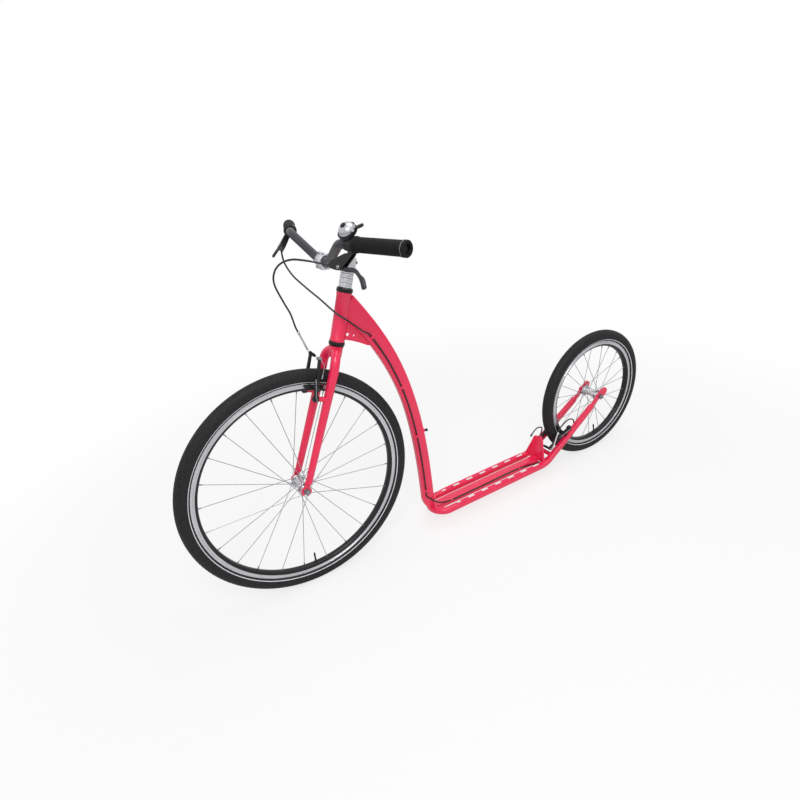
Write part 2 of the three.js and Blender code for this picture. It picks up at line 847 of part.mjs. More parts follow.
// Stem, in the steering frame
function spacersGeometry() {
  const bore = steererRadius + seam;
  const pitch = spacerStackHeight / spacerRings;
  const waist = spacerRadius - spacerGroove;
  const skin = [];
  for (let i = 0; i < spacerRings; i += 1) {
    const low = spacerBottom + i * pitch;
    skin.push([spacerRadius, low + spacerGroove]);
    skin.push([spacerRadius, low + pitch - spacerGroove]);
    skin.push([waist, low + pitch]);
  }
  const low = [bore, spacerBottom];
  const high = [bore, spacerBottom + spacerStackHeight];
  return turned([low, [waist, spacerBottom], ...skin, high, low], roundSides, upward);
}

add(steering, "stem_spacers", spacersGeometry(), silverAlloy);

const barMiddle = v(stemReach, 0, stemMiddle);
const besideBar = (side, out) => barMiddle.clone().add(v(0, side * out, 0));
const stemLow = v(0, 0, stemMiddle - stemClampHeight / 2);
const stemHigh = v(0, 0, stemMiddle + stemClampHeight / 2);
const barShell = rod(
  besideBar(-1, barClampWidth / 2),
  besideBar(1, barClampWidth / 2),
  barClampRadius + barClampWall,
  roundSides,
);
const barBore = rod(
  besideBar(-1, barClampWidth),
  besideBar(1, barClampWidth),
  barClampRadius + seam,
  roundSides,
);

// The part of the bar clamp ahead of the bar's middle is a plate of its own.
function frontOfClamp(gap) {
  const reach = barClampRadius + barClampWall + overrun;
  const low = barMiddle.clone().add(v(gap, -barClampWidth, -reach));
  return box(low, barMiddle.clone().add(v(reach, barClampWidth, reach)));
}

function stemGeometry() {
  const clamp = rod(stemLow, stemHigh, stemClampRadius, roundSides);
  const body = box(
    v(0, -stemBodyWidth / 2, stemMiddle - stemBodyHeight / 2),
    v(stemReach, stemBodyWidth / 2, stemMiddle + stemBodyHeight / 2),
  );
  const bore = rod(
    stemLow.clone().add(v(0, 0, -overrun)),
    stemHigh.clone().add(v(0, 0, overrun)),
    steererRadius + seam,
    roundSides,
  );
  return cut(join(clamp, body, barShell), bore, barBore, frontOfClamp(0));
}

add(steering, "stem", stemGeometry(), silverAlloy);
add(steering, "stem_face_plate", common(cut(barShell, barBore), frontOfClamp(seam)), silverAlloy);

// Handlebar, in the steering frame
const bendPlace = (side) => barMiddle.clone().add(v(bendForward, side * bendOut, bendRise));
const barEnd = (side) => barMiddle.clone().add(v(-gripEndBack, side * barHalfWidth, gripEndRise));
const barOutward = (side) => barEnd(side).sub(bendPlace(side)).normalize();

function handlebarGeometry() {
  const corners = [besideBar(1, barMiddleHalf), besideBar(-1, barMiddleHalf)];
  const route = [barEnd(1), bendPlace(1), ...corners, bendPlace(-1), barEnd(-1)];
  const path = bentPath(route, barBendRun);
  const halves = () => [barRadius, barRadius];
  const tube = bar(path, bentStops(path, 4), forward, halves, sectionSides);
  const bulge = rod(corners[0], corners[1], barClampRadius, roundSides);
  const hollow = (side) =>
    rod(
      barEnd(side).addScaledVector(barOutward(side), overrun),
      barEnd(side).addScaledVector(barOutward(side), -gripLength),
      barRadius - barWall,
    );
  return cut(join(tube, bulge), hollow(1), hollow(-1));
}

add(steering, "handlebar", handlebarGeometry(), barAlloy);

function gripGeometry() {
  const bore = barRadius / Math.cos(Math.PI / sectionSides) + seam;
  const collarStart = gripCollarLength - gripLength;
  const profile = [
    [bore, -gripLength],
    [gripCollarRadius, -gripLength],
    [gripCollarRadius, collarStart],
    [gripRadius, collarStart],
    [gripRadius, 0],
    [bore, 0],
    [bore, -gripLength],
  ];
  return turned(profile, roundSides, forward);
}

// A frame on the bar: local X runs outward along the grip, local Y the way the lever reaches and
// local Z square to both. Its origin is on the bar's axis, inboard of the bar's end.
function barFrame(side, drop) {
  const outward = barOutward(side);
  const origin = barEnd(side).addScaledVector(outward, -clampInboard);
  const level = v(Math.cos(steeringTilt), 0, Math.sin(steeringTilt));
  const down = v(Math.sin(steeringTilt), 0, -Math.cos(steeringTilt));
  const reach = level.multiplyScalar(Math.cos(drop)).addScaledVector(down, Math.sin(drop));
  reach.addScaledVector(outward, -reach.dot(outward)).normalize();
  const square = outward.clone().cross(reach);
  return new THREE.Matrix4().makeBasis(outward, reach, square).setPosition(origin);
}

const clampInboard = gripLength + seam + leverClampInset;
const barBoreRadius = barRadius / Math.cos(Math.PI / sectionSides) + seam;

// Brake levers. The bracket and the blade stand in the bar's frame, with the pivot at leverPivot.
const leverPivot = v(-leverPivotInboard, leverReach, 0);
const bracketEnd = leverPivot.x - barrelInboard;
const barrelOut = leverPivot.y - leverBladeWidth / 4;

function bracketGeometry() {
  const ringOuter = barBoreRadius + leverClampWall;
  const clampHalf = leverClampWidth / 2;
  const clamp = ringTube(v(-clampHalf, 0, 0), v(clampHalf, 0, 0), ringOuter, barBoreRadius);
  const [x, y] = [leverPivot.x, leverPivot.y];
  const block = leverBladeWidth;
  const arm = plate(
    [
      [-clampHalf, ringOuter - leverClampWall / 2],
      [clampHalf, ringOuter - leverClampWall / 2],
      [clampHalf, ringOuter + leverClampWall],
      [x + block, y + block / 2],
      [bracketEnd, y + block / 2],
      [bracketEnd, y - block],
      [-clampHalf - block, ringOuter + leverClampWall],
      [-clampHalf, ringOuter + leverClampWall],
    ],
    bracketThickness,
  );
  const slotHalf = leverThickness / 2 + turningGap;
  const slot = box(
    v(-block, -block / 2 - turningGap, -slotHalf),
    v(leverPivotInboard, block, slotHalf),
  );
  const pulledSlot = slot.clone().rotateZ(-leverPull);
  const barrel = rod(
    v(bracketEnd - barrelLength, barrelOut, 0),
    v(bracketEnd + overrun, barrelOut, 0),
    barrelRadius,
  );
  const pin = rod(
    v(x, y, -bracketThickness / 2),
    v(x, y, bracketThickness / 2),
    leverPivotRadius,
  );
  const slots = [slot, pulledSlot].map((room) => room.translate(x, y, 0));
  return join(cut(join(clamp, arm), ...slots), barrel, pin);
}

// The blade stands about its own pivot.
function bladeGeometry() {
  const half = leverBladeWidth / 2;
  const thick = v(0, 0, leverThickness / 2);
  const eye = rod(thick.clone().negate(), thick, half, roundSides);
  const rows = bladeShares.map(([along, out]) =>
    v(along * leverBladeLength, out * leverBladeLength, 0),
  );
  const rings = rows.map((middle, i) => {
    const next = rows[Math.min(i + 1, rows.length - 1)];
    const last = rows[Math.max(i - 1, 0)];
    const along = next.clone().sub(last).normalize();
    const across = upward.clone().cross(along);
    return ring(middle, across, upward, half * bladeShares[i][2], thick.z, 8, softness);
  });
  const hole = rod(
    v(0, 0, -leverThickness),
    v(0, 0, leverThickness),
    leverPivotRadius + seam,
    roundSides,
  );
  return cut(join(eye, loft(rings)), hole);
}

const leverDrops = { left: leftLeverDrop, right: rightLeverDrop };
for (const [name, side] of hands) {
  const end = new THREE.Matrix4().lookAt(v(0, 0, 0), barOutward(side), upward);
  end.multiply(new THREE.Matrix4().makeRotationY(Math.PI / 2)).setPosition(barEnd(side));
  const grip = framed(steeringFrame.clone().multiply(end));
  add(grip, "grip_" + name, gripGeometry(), rubber);
  const onBar = steeringFrame.clone().multiply(barFrame(side, leverDrops[name]));
  add(framed(onBar), "lever_bracket_" + name, bracketGeometry(), blackAlloy);
  const atPivot = onBar.clone().multiply(new THREE.Matrix4().setPosition(leverPivot));
  add(framed(atPivot), "brake_lever_" + name, bladeGeometry(), blackAlloy);
}

// Bell. Its clamp stands in the bar's frame beside the lever's clamp. Its head stands on a neck,
// in a frame of its own: local Z is the dome's axis, and local X points outward along the bar.
const bellInboard = clampInboard + (leverClampWidth + bellClampWidth) / 2 + bellClampGap;
const bellOnBar = barEnd(1).addScaledVector(barOutward(1), -bellInboard);
const bellNeck = squareTo(barOutward(1), bellNeckLean);
const bellHead = bellOnBar.clone().addScaledVector(bellNeck, bellNeckReach);

// The direction square to the bar that leans forward from the steering axis's direction.
function squareTo(along, lean) {
  const direction = v(Math.sin(lean), 0, Math.cos(lean));
  return direction.addScaledVector(along, -direction.dot(along)).normalize();
}

const bellAxis = squareTo(barOutward(1), bellLean);
const headFrame = new THREE.Matrix4()
  .makeBasis(barOutward(1), bellAxis.clone().cross(barOutward(1)), bellAxis)
  .setPosition(bellHead);
const bell = framed(steeringFrame.clone().multiply(headFrame));
const bellLeverLow = bellBaseHeight + seam;
const bellRim = bellLeverLow + bellLeverThickness + seam;

function bellBaseGeometry() {
  const half = barOutward(1).multiplyScalar(bellClampWidth / 2);
  const start = bellOnBar.clone().sub(half);
  const end = bellOnBar.clone().add(half);
  const clamp = ringTube(start, end, barBoreRadius + bellClampWall, barBoreRadius);
  const neckEnd = bellHead.clone().addScaledVector(bellNeck, -bellBaseHeight);
  const neck = rod(bellOnBar, neckEnd, bellNeckRadius);
  const room = rod(start, end, barBoreRadius, roundSides);
  const toHead = headFrame.clone().invert();
  const top = bellRim + bellHeight + seam;
  const floor = rod(v(0, 0, 0), v(0, 0, bellBaseHeight), bellBaseRadius, roundSides);
  const post = rod(v(0, 0, 0), v(0, 0, top), bellPostRadius);
  const cap = rod(v(0, 0, top), v(0, 0, top + bellCapHeight), bellCapRadius);
  const foot = cut(join(clamp, neck), room).applyMatrix4(toHead);
  return join(foot, floor, post, cap);
}

function bellDomeGeometry() {
  const bore = bellPostRadius + seam;
  const arc = (wall) =>
    evenStops(4).map((share) => {
      const angle = (share * Math.PI) / 2;
      const radius = Math.max((bellRadius - wall) * Math.cos(angle), bore);
      return [radius, bellRim + (bellHeight - wall) * Math.sin(angle)];
    });
  const outer = arc(0);
  return turned([...outer, ...arc(bellWall).reverse(), outer[0]], roundSides, upward);
}

// The thumb lever lies under the dome and turns on the bell's post.
function bellLeverGeometry() {
  const half = bellLeverWidth / 2;
  const eye = rod(
    v(0, 0, bellLeverLow),
    v(0, 0, bellLeverLow + bellLeverThickness),
    half + bellPostRadius,
    roundSides,
  );
  const outline = [
    [-half, 0],
    [half, 0],
    [half, bellLeverLength],
    [0, bellLeverLength + half],
    [-half, bellLeverLength],
  ];
  const arm = plate(outline, bellLeverThickness);
  arm.translate(0, 0, bellLeverLow + bellLeverThickness / 2);
  const hole = rod(
    v(0, 0, 0),
    v(0, 0, bellRim + overrun),
    bellPostRadius + seam,
    roundSides,
  );
  return cut(join(eye, arm), hole).rotateZ(-bellLeverTurn);
}

add(bell, "bell_base", bellBaseGeometry(), blackAlloy);
add(bell, "bell_dome", bellDomeGeometry(), bellChrome);
add(bell, "bell_lever", bellLeverGeometry(), blackAlloy);

// Main tube: a long curve from the head tube down to the deck
const headTubeRoom = rod(
  v(0, 0, headTubeBottom - overrun),
  v(0, 0, headTubeTop + overrun),
  headTubeRadius + seam,
  roundSides,
).applyMatrix4(steeringFrame);
const mainTubeTop = onSteering(0, 0, headTubeTop - mainTubeDrop);
const mainTubeFoot = v(-deckFront, 0, deckTop + seam);
const mainTubeStart = v(-Math.cos(mainTubeLean), 0, -Math.sin(mainTubeLean));
const mainCurve = new THREE.CubicBezierCurve3(
  mainTubeTop,
  mainTubeTop.clone().addScaledVector(mainTubeStart, mainTubeTopPull),
  mainTubeFoot.clone().add(v(0, 0, mainTubeFootPull)),
  mainTubeFoot,
);
const mainAhead = (share) => leftward.clone().cross(mainCurve.getTangentAt(share)).negate();

function mainTubeSkin(gap) {
  const halves = (share) => {
    const flare = Math.max(0, 1 - share / flareShare);
    return [mainTubeWidth / 2 + gap, lerp(mainTubeDepth, mainTubeTopDepth, flare) / 2 + gap];
  };
  return bar(mainCurve, evenStops(14), leftward, halves, sectionSides, boxiness);
}

// Where the brake cable runs: along the main tube's left side, a little ahead of its middle.
function besideMainTube(share) {
  const out = mainTubeWidth / 2 + cableRadius + turningGap;
  return mainCurve
    .getPointAt(share)
    .addScaledVector(mainAhead(share), cableForward)
    .addScaledVector(leftward, out);
}

// A short ring that holds the cable on the tube's side.
function guideGeometry(share) {
  const along = mainCurve.getTangentAt(share).multiplyScalar(guideLength / 2);
  const middle = besideMainTube(share);
  const bore = cableRadius + turningGap;
  const start = middle.clone().sub(along);
  return ringTube(start, middle.add(along), bore + guideWall, bore, 8);
}

const mainTube = cut(mainTubeSkin(0), headTubeRoom);
add(bike, "main_tube", join(mainTube, ...guideShares.map(guideGeometry)), framePaint);

// A web of plate in the corner under the main tube, with two round holes
function gussetGeometry() {
  const low = onSteering(0, 0, headTubeBottom + gussetThickness);
  const tip = low.clone().add(v(-headTubeRadius - gussetLength, 0, -gussetFall));
  const belly = between(low, tip, 1 / 2).add(v(0, 0, gussetFall * gussetBellyShare));
  const back = mainCurve.getPointAt(gussetTubeShare);
  const outline = [low, belly, tip, back, mainTubeTop].map((point) => [point.x, point.z]);
  const hole = ([along, up], radius) => [
    low.x - headTubeRadius - gussetLength * along,
    tip.z + gussetLength * up,
    radius,
  ];
  const holes = [
    hole(gussetHoleShares, gussetHoleRadius),
    hole(gussetSmallHoleShares, gussetSmallHoleRadius),
  ];
  return cut(uprightPlate(outline, gussetThickness, holes), headTubeRoom, mainTubeSkin(seam));
}

add(bike, "head_gusset", gussetGeometry(), framePaint);

// The share of the main tube's length at which its middle line passes a height.
function mainShareAt(height) {
  let [above, below] = [0, 1];
  for (let i = 0; i < 20; i += 1) {
    const middle = (above + below) / 2;
    if (mainCurve.getPointAt(middle).z > height) above = middle;
    else below = middle;
  }
  return (above + below) / 2;
}

// A small peg stands on the back of the main tube.
function pegGeometry() {
  const share = mainShareAt(pegHeight);
  const back = mainAhead(share).negate();
  const root = mainCurve.getPointAt(share).addScaledVector(back, mainTubeDepth / 2 + seam);
  return rod(root, root.clone().addScaledVector(back, pegLength), pegRadius);
}

add(bike, "frame_peg", pegGeometry(), blackAlloy);

// Deck: a yoke round the front, and two rails that rise behind as stays to the rear axle
const railMiddle = deckTop - railHeight / 2;
const yokeCorner = -deckFront - yokeDepth;
const railFront = yokeCorner - yokeBendRun - seam;
const kink = -deckFront - deckLength;

function yokeSkin(gap) {
  const corner = (side) => [
    v(railFront, side * railSpread, railMiddle),
    v(yokeCorner, side * railSpread, railMiddle),
    v(-deckFront, side * yokeSpread, railMiddle),
  ];
  const path = bentPath([...corner(1), ...corner(-1).reverse()], yokeBendRun);
  const halves = () => [railHeight / 2 + gap, railWidth / 2 + gap];
  return bar(path, bentStops(path, 3), upward, halves, sectionSides, boxiness);
}

add(bike, "deck_yoke", yokeSkin(0), framePaint);

const stayDirection = rearAxle.clone().sub(v(kink, 0, railMiddle)).normalize();

// A rail's skin, from the yoke to the rear axle, with a gap all round.
function railSkin(side, gap) {
  const start = v(railFront - seam, side * railSpread, railMiddle);
  const bend = v(kink, side * railSpread, railMiddle);
  const end = rearAxle.clone().setY(side * dropoutMiddle);
  const path = bentPath([start, bend, end], railBendRun);
  const straight = start.distanceTo(bend) / path.getLength();
  const halves = (share) => {
    const taper = Math.max(0, (share - straight) / (1 - straight));
    return [
      lerp(railWidth / 2, stayTailHalfWidth, taper * taper) + gap,
      lerp(railHeight / 2, stayTailRadius, taper) + gap,
    ];
  };
  const stops = bentStops(path, 4);
  const last = stops.length - 1;
  const alongStay = [1, 2, 3].map((i) => lerp(stops[last - 1], 1, i / 3));
  const allStops = [...stops.slice(0, last), ...alongStay];
  return bar(path, allStops, leftward, halves, sectionSides, boxiness);
}

// The rear brake's frame: origin at the rear axle, local Z down the stays towards the brake, local
// X square up from them and local Y to the right.
const brakeOut = stayDirection.clone().negate();
const brakeUp = v(stayDirection.z, 0, -stayDirection.x);
const stayFrame = new THREE.Matrix4()
  .makeBasis(brakeUp, leftward.clone().negate(), brakeOut)
  .setPosition(rearAxle);
const onStays = (x, y, z) => v(x, -y, z).applyMatrix4(stayFrame);

function railGeometry(side) {
  const [inner, outer] = [side * dropoutInner, side * dropoutOuter];
  const disc = (centre, start, end, radius) =>
    rod(centre.clone().setY(start), centre.clone().setY(end), radius, roundSides);
  const tail = rearAxle.clone().addScaledVector(stayDirection, stayTail - dropoutRadius);
  const hubRoom = hubFlangeRadius + turningGap + overrun;
  const nutRoom = nutRadius + turningGap;
  const pivotHeight = armPivotRadius(rearWheelRadius);
  const boss = bossGeometry(
    onStays(0, side * bossSpread, pivotHeight),
    onStays(rearBrakeReach, side * bossSpread, pivotHeight),
  );
  return cut(
    join(
      railSkin(side, 0),
      disc(rearAxle, inner, outer, dropoutRadius),
      disc(tail, inner, outer, dropoutRadius),
      boss,
    ),
    disc(rearAxle, 0, inner, hubRoom),
    disc(rearAxle, outer, outer + side * railWidth, nutRoom),
    axleSlot().translate(...rearAxle.toArray()),
  );
}

add(bike, "deck_rail_left", railGeometry(1), framePaint);
add(bike, "deck_rail_right", railGeometry(-1), framePaint);

const plateFoot = kink + heelPlateAhead;

// The beam runs along the middle of the deck from the yoke to the heel plate.
function beamGeometry() {
  const half = beamWidth / 2;
  const edge = (2 * half) / heelPlateWidth;
  const rear = plateFoot - heelPlateHollow * (1 - edge * edge) + seam;
  const rings = [-deckFront, rear].map((x) =>
    ring(
      v(x, 0, deckTop - beamHeight / 2),
      leftward,
      upward,
      half,
      beamHeight / 2,
      sectionSides,
      boxiness,
    ),
  );
  return cut(loft(rings), yokeSkin(seam));
}

add(bike, "deck_beam", beamGeometry(), framePaint);

for (const [name, side] of hands) {
  const inside = side * (railSpread - stripWidth / 2);
  const outside = side * (railSpread + stripWidth / 2);
  const low = v(kink + railBendRun + stripRearInset, inside, deckTop + seam);
  const high = v(railFront - stripFrontInset, outside, deckTop + seam + stripThickness);
  add(bike, "deck_strip_" + name, box(low, high), stripWhite);
}

// Heel plate: an upright sheet between and above the rails, hollow towards the front and narrower
// at the top
function heelPlateGeometry() {
  const rows = 5;
  const columns = 6;
  const front = [];
  const back = [];
  for (let row = 0; row <= rows; row += 1) {
    const up = row / rows;
    const half = lerp(heelPlateWidth, heelPlateTopWidth, up) / 2;
    for (let column = 0; column <= columns; column += 1) {
      const across = (2 * column) / columns - 1;
      const hollow = heelPlateHollow * (1 - across * across);
      const x = plateFoot - heelPlateLean * up - hollow;
      const z = railMiddle + heelPlateHeight * up;
      front.push(v(x, across * half, z));
      back.push(v(x - heelPlateThickness, across * half, z));
    }
  }
  const sheet = sheetSolid(front, back, rows, columns);
  return cut(sheet, railSkin(1, seam), railSkin(-1, seam));
}

add(bike, "heel_plate", heelPlateGeometry(), framePaint);

// The bridge is a short tube between the stays, just ahead of the rear tyre.
function bridgeGeometry() {
  const middle = v(kink, 0, railMiddle).addScaledVector(stayDirection, bridgeBehindKink);
  const tube = rod(
    middle.clone().setY(-railSpread),
    middle.clone().setY(railSpread),
    bridgeRadius,
    roundSides,
  );
  return cut(tube, railSkin(1, seam), railSkin(-1, seam));
}

add(bike, "stay_bridge", bridgeGeometry(), framePaint);

// Rim brakes. A brake's frame has its origin at the wheel's axle, local Z towards the brake and
// local X square out to the arms. An arm's own frame has the same directions and starts at its
// pivot. Inward is the local Y direction from an arm to the middle of the wheel.
const armWidthAt = (height) => lerp(armFootWidth, armTopWidth, height / armLength);
const armInwardAt = (height) => ((bossSpread - armTopSpread) * height) / armLength;
const wireHeight = armLength + seam + noodleRadius;

function armGeometry(inward) {
  const rings = evenStops(2).map((share) => {
    const height = share * armLength;
    const centre = v(0, inward * armInwardAt(height), height);
    const half = armWidthAt(height) / 2;
    return ring(centre, leftward, forward, half, armThickness / 2, 8, softness);
  });
  const thick = v(armThickness / 2, 0, 0);
  const eye = rod(thick.clone().negate(), thick, armEyeRadius, roundSides);
  const bore = rod(v(-armThickness, 0, 0), v(armThickness, 0, 0), bossRadius + seam, roundSides);
  return cut(join(eye, loft(rings)), bore);
}

// The pad follows the rim, and a stud holds it on the arm.
function padGeometry(inward, { wheelRadius, reach }) {
  const track = brakeTrackRadius(wheelRadius);
  const middleAngle = Math.asin(reach / track);
  const halfAngle = padLength / 2 / track;
  const out = inward * (bossSpread - rimWidth / 2 - padGap - padThickness / 2);
  const at = (angle) =>
    v(track * Math.sin(angle) - reach, out, track * Math.cos(angle) - (track - bossDrop));
  const rings = evenStops(4).map((share) => {
    const angle = lerp(middleAngle - halfAngle, middleAngle + halfAngle, share);
    const radial = v(Math.sin(angle), 0, Math.cos(angle));
    return ring(at(angle), leftward, radial, padThickness / 2, padHeight / 2, 8, boxiness);
  });
  const root = at(middleAngle);
  const face = armInwardAt(root.z) + armWidthAt(root.z) / 2;
  const end = root.clone().setY(inward * (face + seam));
  return join(loft(rings), rod(root, end, padStudRadius));
}

// Where the noodle's open end stands, and which way it points.
function noodleEnd(inward, rise) {
  const corner = v(0, inward * (armInwardAt(armLength) - noodleOut), wireHeight);
  return { corner, end: corner.clone().add(v(noodleForward, 0, rise)) };
}

// The noodle runs over the arm's top, bends, and ends in a ferrule for the cable. A hollow boot
// on its other end takes the wire.
function noodleGeometry(inward, rise) {
  const { corner, end } = noodleEnd(inward, rise);
  const tip = armInwardAt(armLength) + armTopWidth / 2;
  const start = v(0, inward * (tip + bootWall / 2), wireHeight);
  const path = bentPath([start, corner, end], noodleBend);
  const halves = () => [noodleRadius, noodleRadius];
  const openWay = end.clone().sub(corner).normalize();
  const tube = bar(path, bentStops(path, 4), openWay, halves, 8);
  const back = openWay.multiplyScalar(-ferruleLength);
  const ferrule = rod(end.clone().add(back), end, ferruleRadius);
  const profile = [
    [0, 0],
    [bootRadius * bootTipShare, 0],
    [bootRadius, bootLength / 4],
    [bootRadius * bootTipShare, bootLength],
    [bootBore, bootLength],
    [bootBore, bootWall],
    [0, bootWall],
  ];
  const boot = turned(profile, smallSides, v(0, inward, 0)).translate(0, inward * tip, wireHeight);
  return join(tube, ferrule, boot);
}

// The wire is clamped in a block on the other arm's top and runs into the boot.
function wireGeometry(inward) {
  const tip = armInwardAt(armLength) + armTopWidth / 2;
  const half = armTopWidth / 2;
  const block = box(
    v(-half, inward * (tip - armTopWidth), armLength + seam),
    v(half, inward * tip, armLength + seam + anchorHeight),
  );
  const across = bossSpread + bossSpread - tip - bootLength + wireInBoot;
  const along = (out) => v(0, inward * out, wireHeight);
  const wire = rod(along(tip - half), along(across), wireRadius, 6);
  return join(block, wire);
}

// A brake's turn is one where its frame's local Y points left.
const brakes = {
  front: {
    frame: steeringFrame.clone().multiply(new THREE.Matrix4().setPosition(rake, 0, 0)),
    turn: 1,
    wheelRadius: frontWheelRadius,
    reach: frontBrakeReach,
    noodleHand: "right",
    rise: frontNoodleRise,
  },
  rear: {
    frame: stayFrame,
    turn: -1,
    wheelRadius: rearWheelRadius,
    reach: rearBrakeReach,
    noodleHand: "left",
    rise: rearNoodleRise,
  },
};

// An arm's pivot in its brake's frame. Out is one on the side to which local Y points.
const armPivot = (brake, out) =>
  v(brake.reach, out * bossSpread, armPivotRadius(brake.wheelRadius));

for (const [end, brake] of Object.entries(brakes)) {
  for (const [name, side] of hands) {
    const out = brake.turn * side;
    const place = new THREE.Matrix4().setPosition(armPivot(brake, out));
    const arm = framed(brake.frame.clone().multiply(place));
    add(arm, end + "_brake_arm_" + name, armGeometry(-out), blackAlloy);
    add(arm, end + "_brake_pad_" + name, padGeometry(-out, brake), rubber);
    if (name === brake.noodleHand) {
      add(arm, end + "_brake_noodle", noodleGeometry(-out, brake.rise), silverAlloy);
    } else {
      add(arm, end + "_brake_wire", wireGeometry(-out), steelWire);
    }
  }
}

// A place on a cable beyond a brake's noodle, in the bike's frame. Both noodles are on the side
// away from which local Y points.
function noodlePlace(brake, beyond) {
  const { corner, end } = noodleEnd(1, brake.rise);
  const past = end.clone().sub(corner).normalize().multiplyScalar(beyond);
  return end.add(past).add(armPivot(brake, -1)).applyMatrix4(brake.frame);
}

// A place on a cable beyond a brake lever's barrel, in the bike's frame.
const barrelPlace = (side, drop, beyond) =>
  v(bracketEnd - barrelLength - beyond, barrelOut, 0)
    .applyMatrix4(barFrame(side, drop))
    .applyMatrix4(steeringFrame);

// Front brake cable, from the left lever over to the noodle on the right
function frontCableGeometry() {
  const leave = (beyond) => barrelPlace(1, leftLeverDrop, beyond);
  const [start, lead] = [leave(cableEndGap), leave(cableLead)];
  const [last, end] = [noodlePlace(brakes.front, cableLead), noodlePlace(brakes.front, cableEndGap)];
  return cordGeometry([start, lead, ...bowed(start, end, frontCableBows), last, end]);
}

add(bike, "front_brake_cable", frontCableGeometry(), cableBlack);

// Rear brake cable: a free loop from the right lever to the main tube's first guide
function cableLoopGeometry() {
  const [start, lead] = [cableEndGap, cableLead].map((beyond) =>
    barrelPlace(-1, rightLeverDrop, beyond),
  );
  const end = besideMainTube(guideShares[0]);
  const last = mainCurve.getTangentAt(guideShares[0]).multiplyScalar(-cableLead).add(end);
  return cordGeometry([start, lead, ...bowed(start, end, loopBows), last, end]);
}

add(bike, "rear_cable_loop", cableLoopGeometry(), cableBlack);

// From there the cable runs down the main tube, over the yoke, between the beam and the left rail,
// and inside the left stay up to the rear brake's noodle.
function frameCableGeometry() {
  const start = mainCurve
    .getTangentAt(guideShares[0])
    .multiplyScalar(cableEndGap)
    .add(besideMainTube(guideShares[0]));
  const downTube = mainCableShares.map(besideMainTube);
  const besideBeam = beamWidth / 2 + cableRadius + turningGap;
  const high = deckTop - cableRadius;
  const aboveYoke = deckTop + cableRadius + cableRadius + turningGap;
  const alongBeam = [
    v(-deckFront - cableLead, besideBeam, aboveYoke),
    v(yokeCorner, besideBeam, deckTop),
    v(railFront - yokeDepth, besideBeam, high),
    v(kink / 2 - deckFront / 2, besideBeam, high),
    v(plateFoot + heelPlateHeight, besideBeam, high),
    v(plateFoot + heelPlateHeight / 2, besideBeam, railMiddle),
    v(plateFoot, besideBeam + turningGap, deckTop - beamHeight + cableRadius),
  ];
  const reach = armPivotRadius(rearWheelRadius);
  const inside = railSpread - railWidth / 2 - cableRadius - cableRadius - turningGap;
  const up = stayCableShares.map(([height, across, along]) =>
    onStays(height * reach, lerp(inside, bossSpread, across), along * reach),
  );
  const [last, end] = [noodlePlace(brakes.rear, cableLead), noodlePlace(brakes.rear, cableEndGap)];
  return cordGeometry([start, ...downTube, ...alongBeam, ...up, last, end]);
}

add(bike, "rear_brake_cable", frameCableGeometry(), cableBlack);

// The origin goes to the ground under the middle of the bike.
bike.position.x = (wheelbase + rearWheelRadius - frontWheelRadius) / 2;

export default bike;
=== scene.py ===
from math import acos, asin, atan2, ceil, copysign, cos, degrees, pi, radians as rad, sin, sqrt

import bmesh
import bpy
from mathutils import Matrix, Vector, geometry


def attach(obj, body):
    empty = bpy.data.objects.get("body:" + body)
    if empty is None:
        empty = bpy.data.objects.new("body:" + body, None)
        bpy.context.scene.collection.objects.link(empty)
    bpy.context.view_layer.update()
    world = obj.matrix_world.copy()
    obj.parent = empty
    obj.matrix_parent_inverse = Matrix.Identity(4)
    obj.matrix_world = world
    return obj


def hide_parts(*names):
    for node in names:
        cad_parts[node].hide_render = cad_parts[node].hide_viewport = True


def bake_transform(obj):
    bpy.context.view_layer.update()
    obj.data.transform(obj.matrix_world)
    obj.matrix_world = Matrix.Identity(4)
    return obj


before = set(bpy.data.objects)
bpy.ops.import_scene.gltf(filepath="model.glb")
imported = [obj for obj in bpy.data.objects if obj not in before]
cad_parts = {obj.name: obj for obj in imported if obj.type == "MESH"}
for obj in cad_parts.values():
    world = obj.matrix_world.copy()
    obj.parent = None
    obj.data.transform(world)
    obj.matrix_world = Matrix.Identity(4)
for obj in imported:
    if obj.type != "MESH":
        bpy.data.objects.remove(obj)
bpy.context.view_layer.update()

MM = 0.001
shift = Matrix.Translation


def v(x=0, y=0, z=0):
    return Vector((x, y, z))


FORWARD, LEFTWARD, UPWARD = v(1), v(0, 1), v(0, 0, 1)
HANDS = (("left", 1), ("right", -1))
BIKE = Matrix.Identity(4)
ON_EDGE = Matrix.Rotation(pi / 2, 4, "X")

# Sizes of the bike
FRONT_RADIUS, REAR_RADIUS, WHEELBASE = 346, 244.5, 1181
TYRE_WIDTH, TYRE_HEIGHT = 38, 39
TREAD_PITCH, TREAD_CUTS, TREAD_SLANT, TREAD_SHARE, TREAD_DEPTH = 15, 6, 1.6, 0.2, 0.9
GROOVE_START, GROOVE_STOP, TREAD_STOP, GROOVE_DEPTH = 0.1, 0.16, 0.72, 0.5
RIM_WIDTH, RIM_DEPTH, RIM_WALL, TRACK_HEIGHT, RIM_BED = 24, 21, 2.5, 12, 13
WHITE_LOW, WHITE_HIGH = 2.6, 7.4
SPOKES, CROSSINGS, SPOKE_RADIUS, SPOKE_OFF, NIPPLE_LENGTH = 12, 2, 1, 1.1, 12
HUB_LENGTH, HUB_BARREL = 76, 13
FLANGE_RADIUS, FLANGE_RIM, FLANGE_THICK, FLANGE_SPACING = 20, 3.5, 3, 52
AXLE_RADIUS, NUT_LENGTH, AXLE_TAIL, WASHER = 5, 9, 3, 1.6
SEAM, TURNING_GAP = 0.3, 0.6
HEAD_ANGLE, RAKE, STEERER_RADIUS = rad(70.5), 45, 14.2
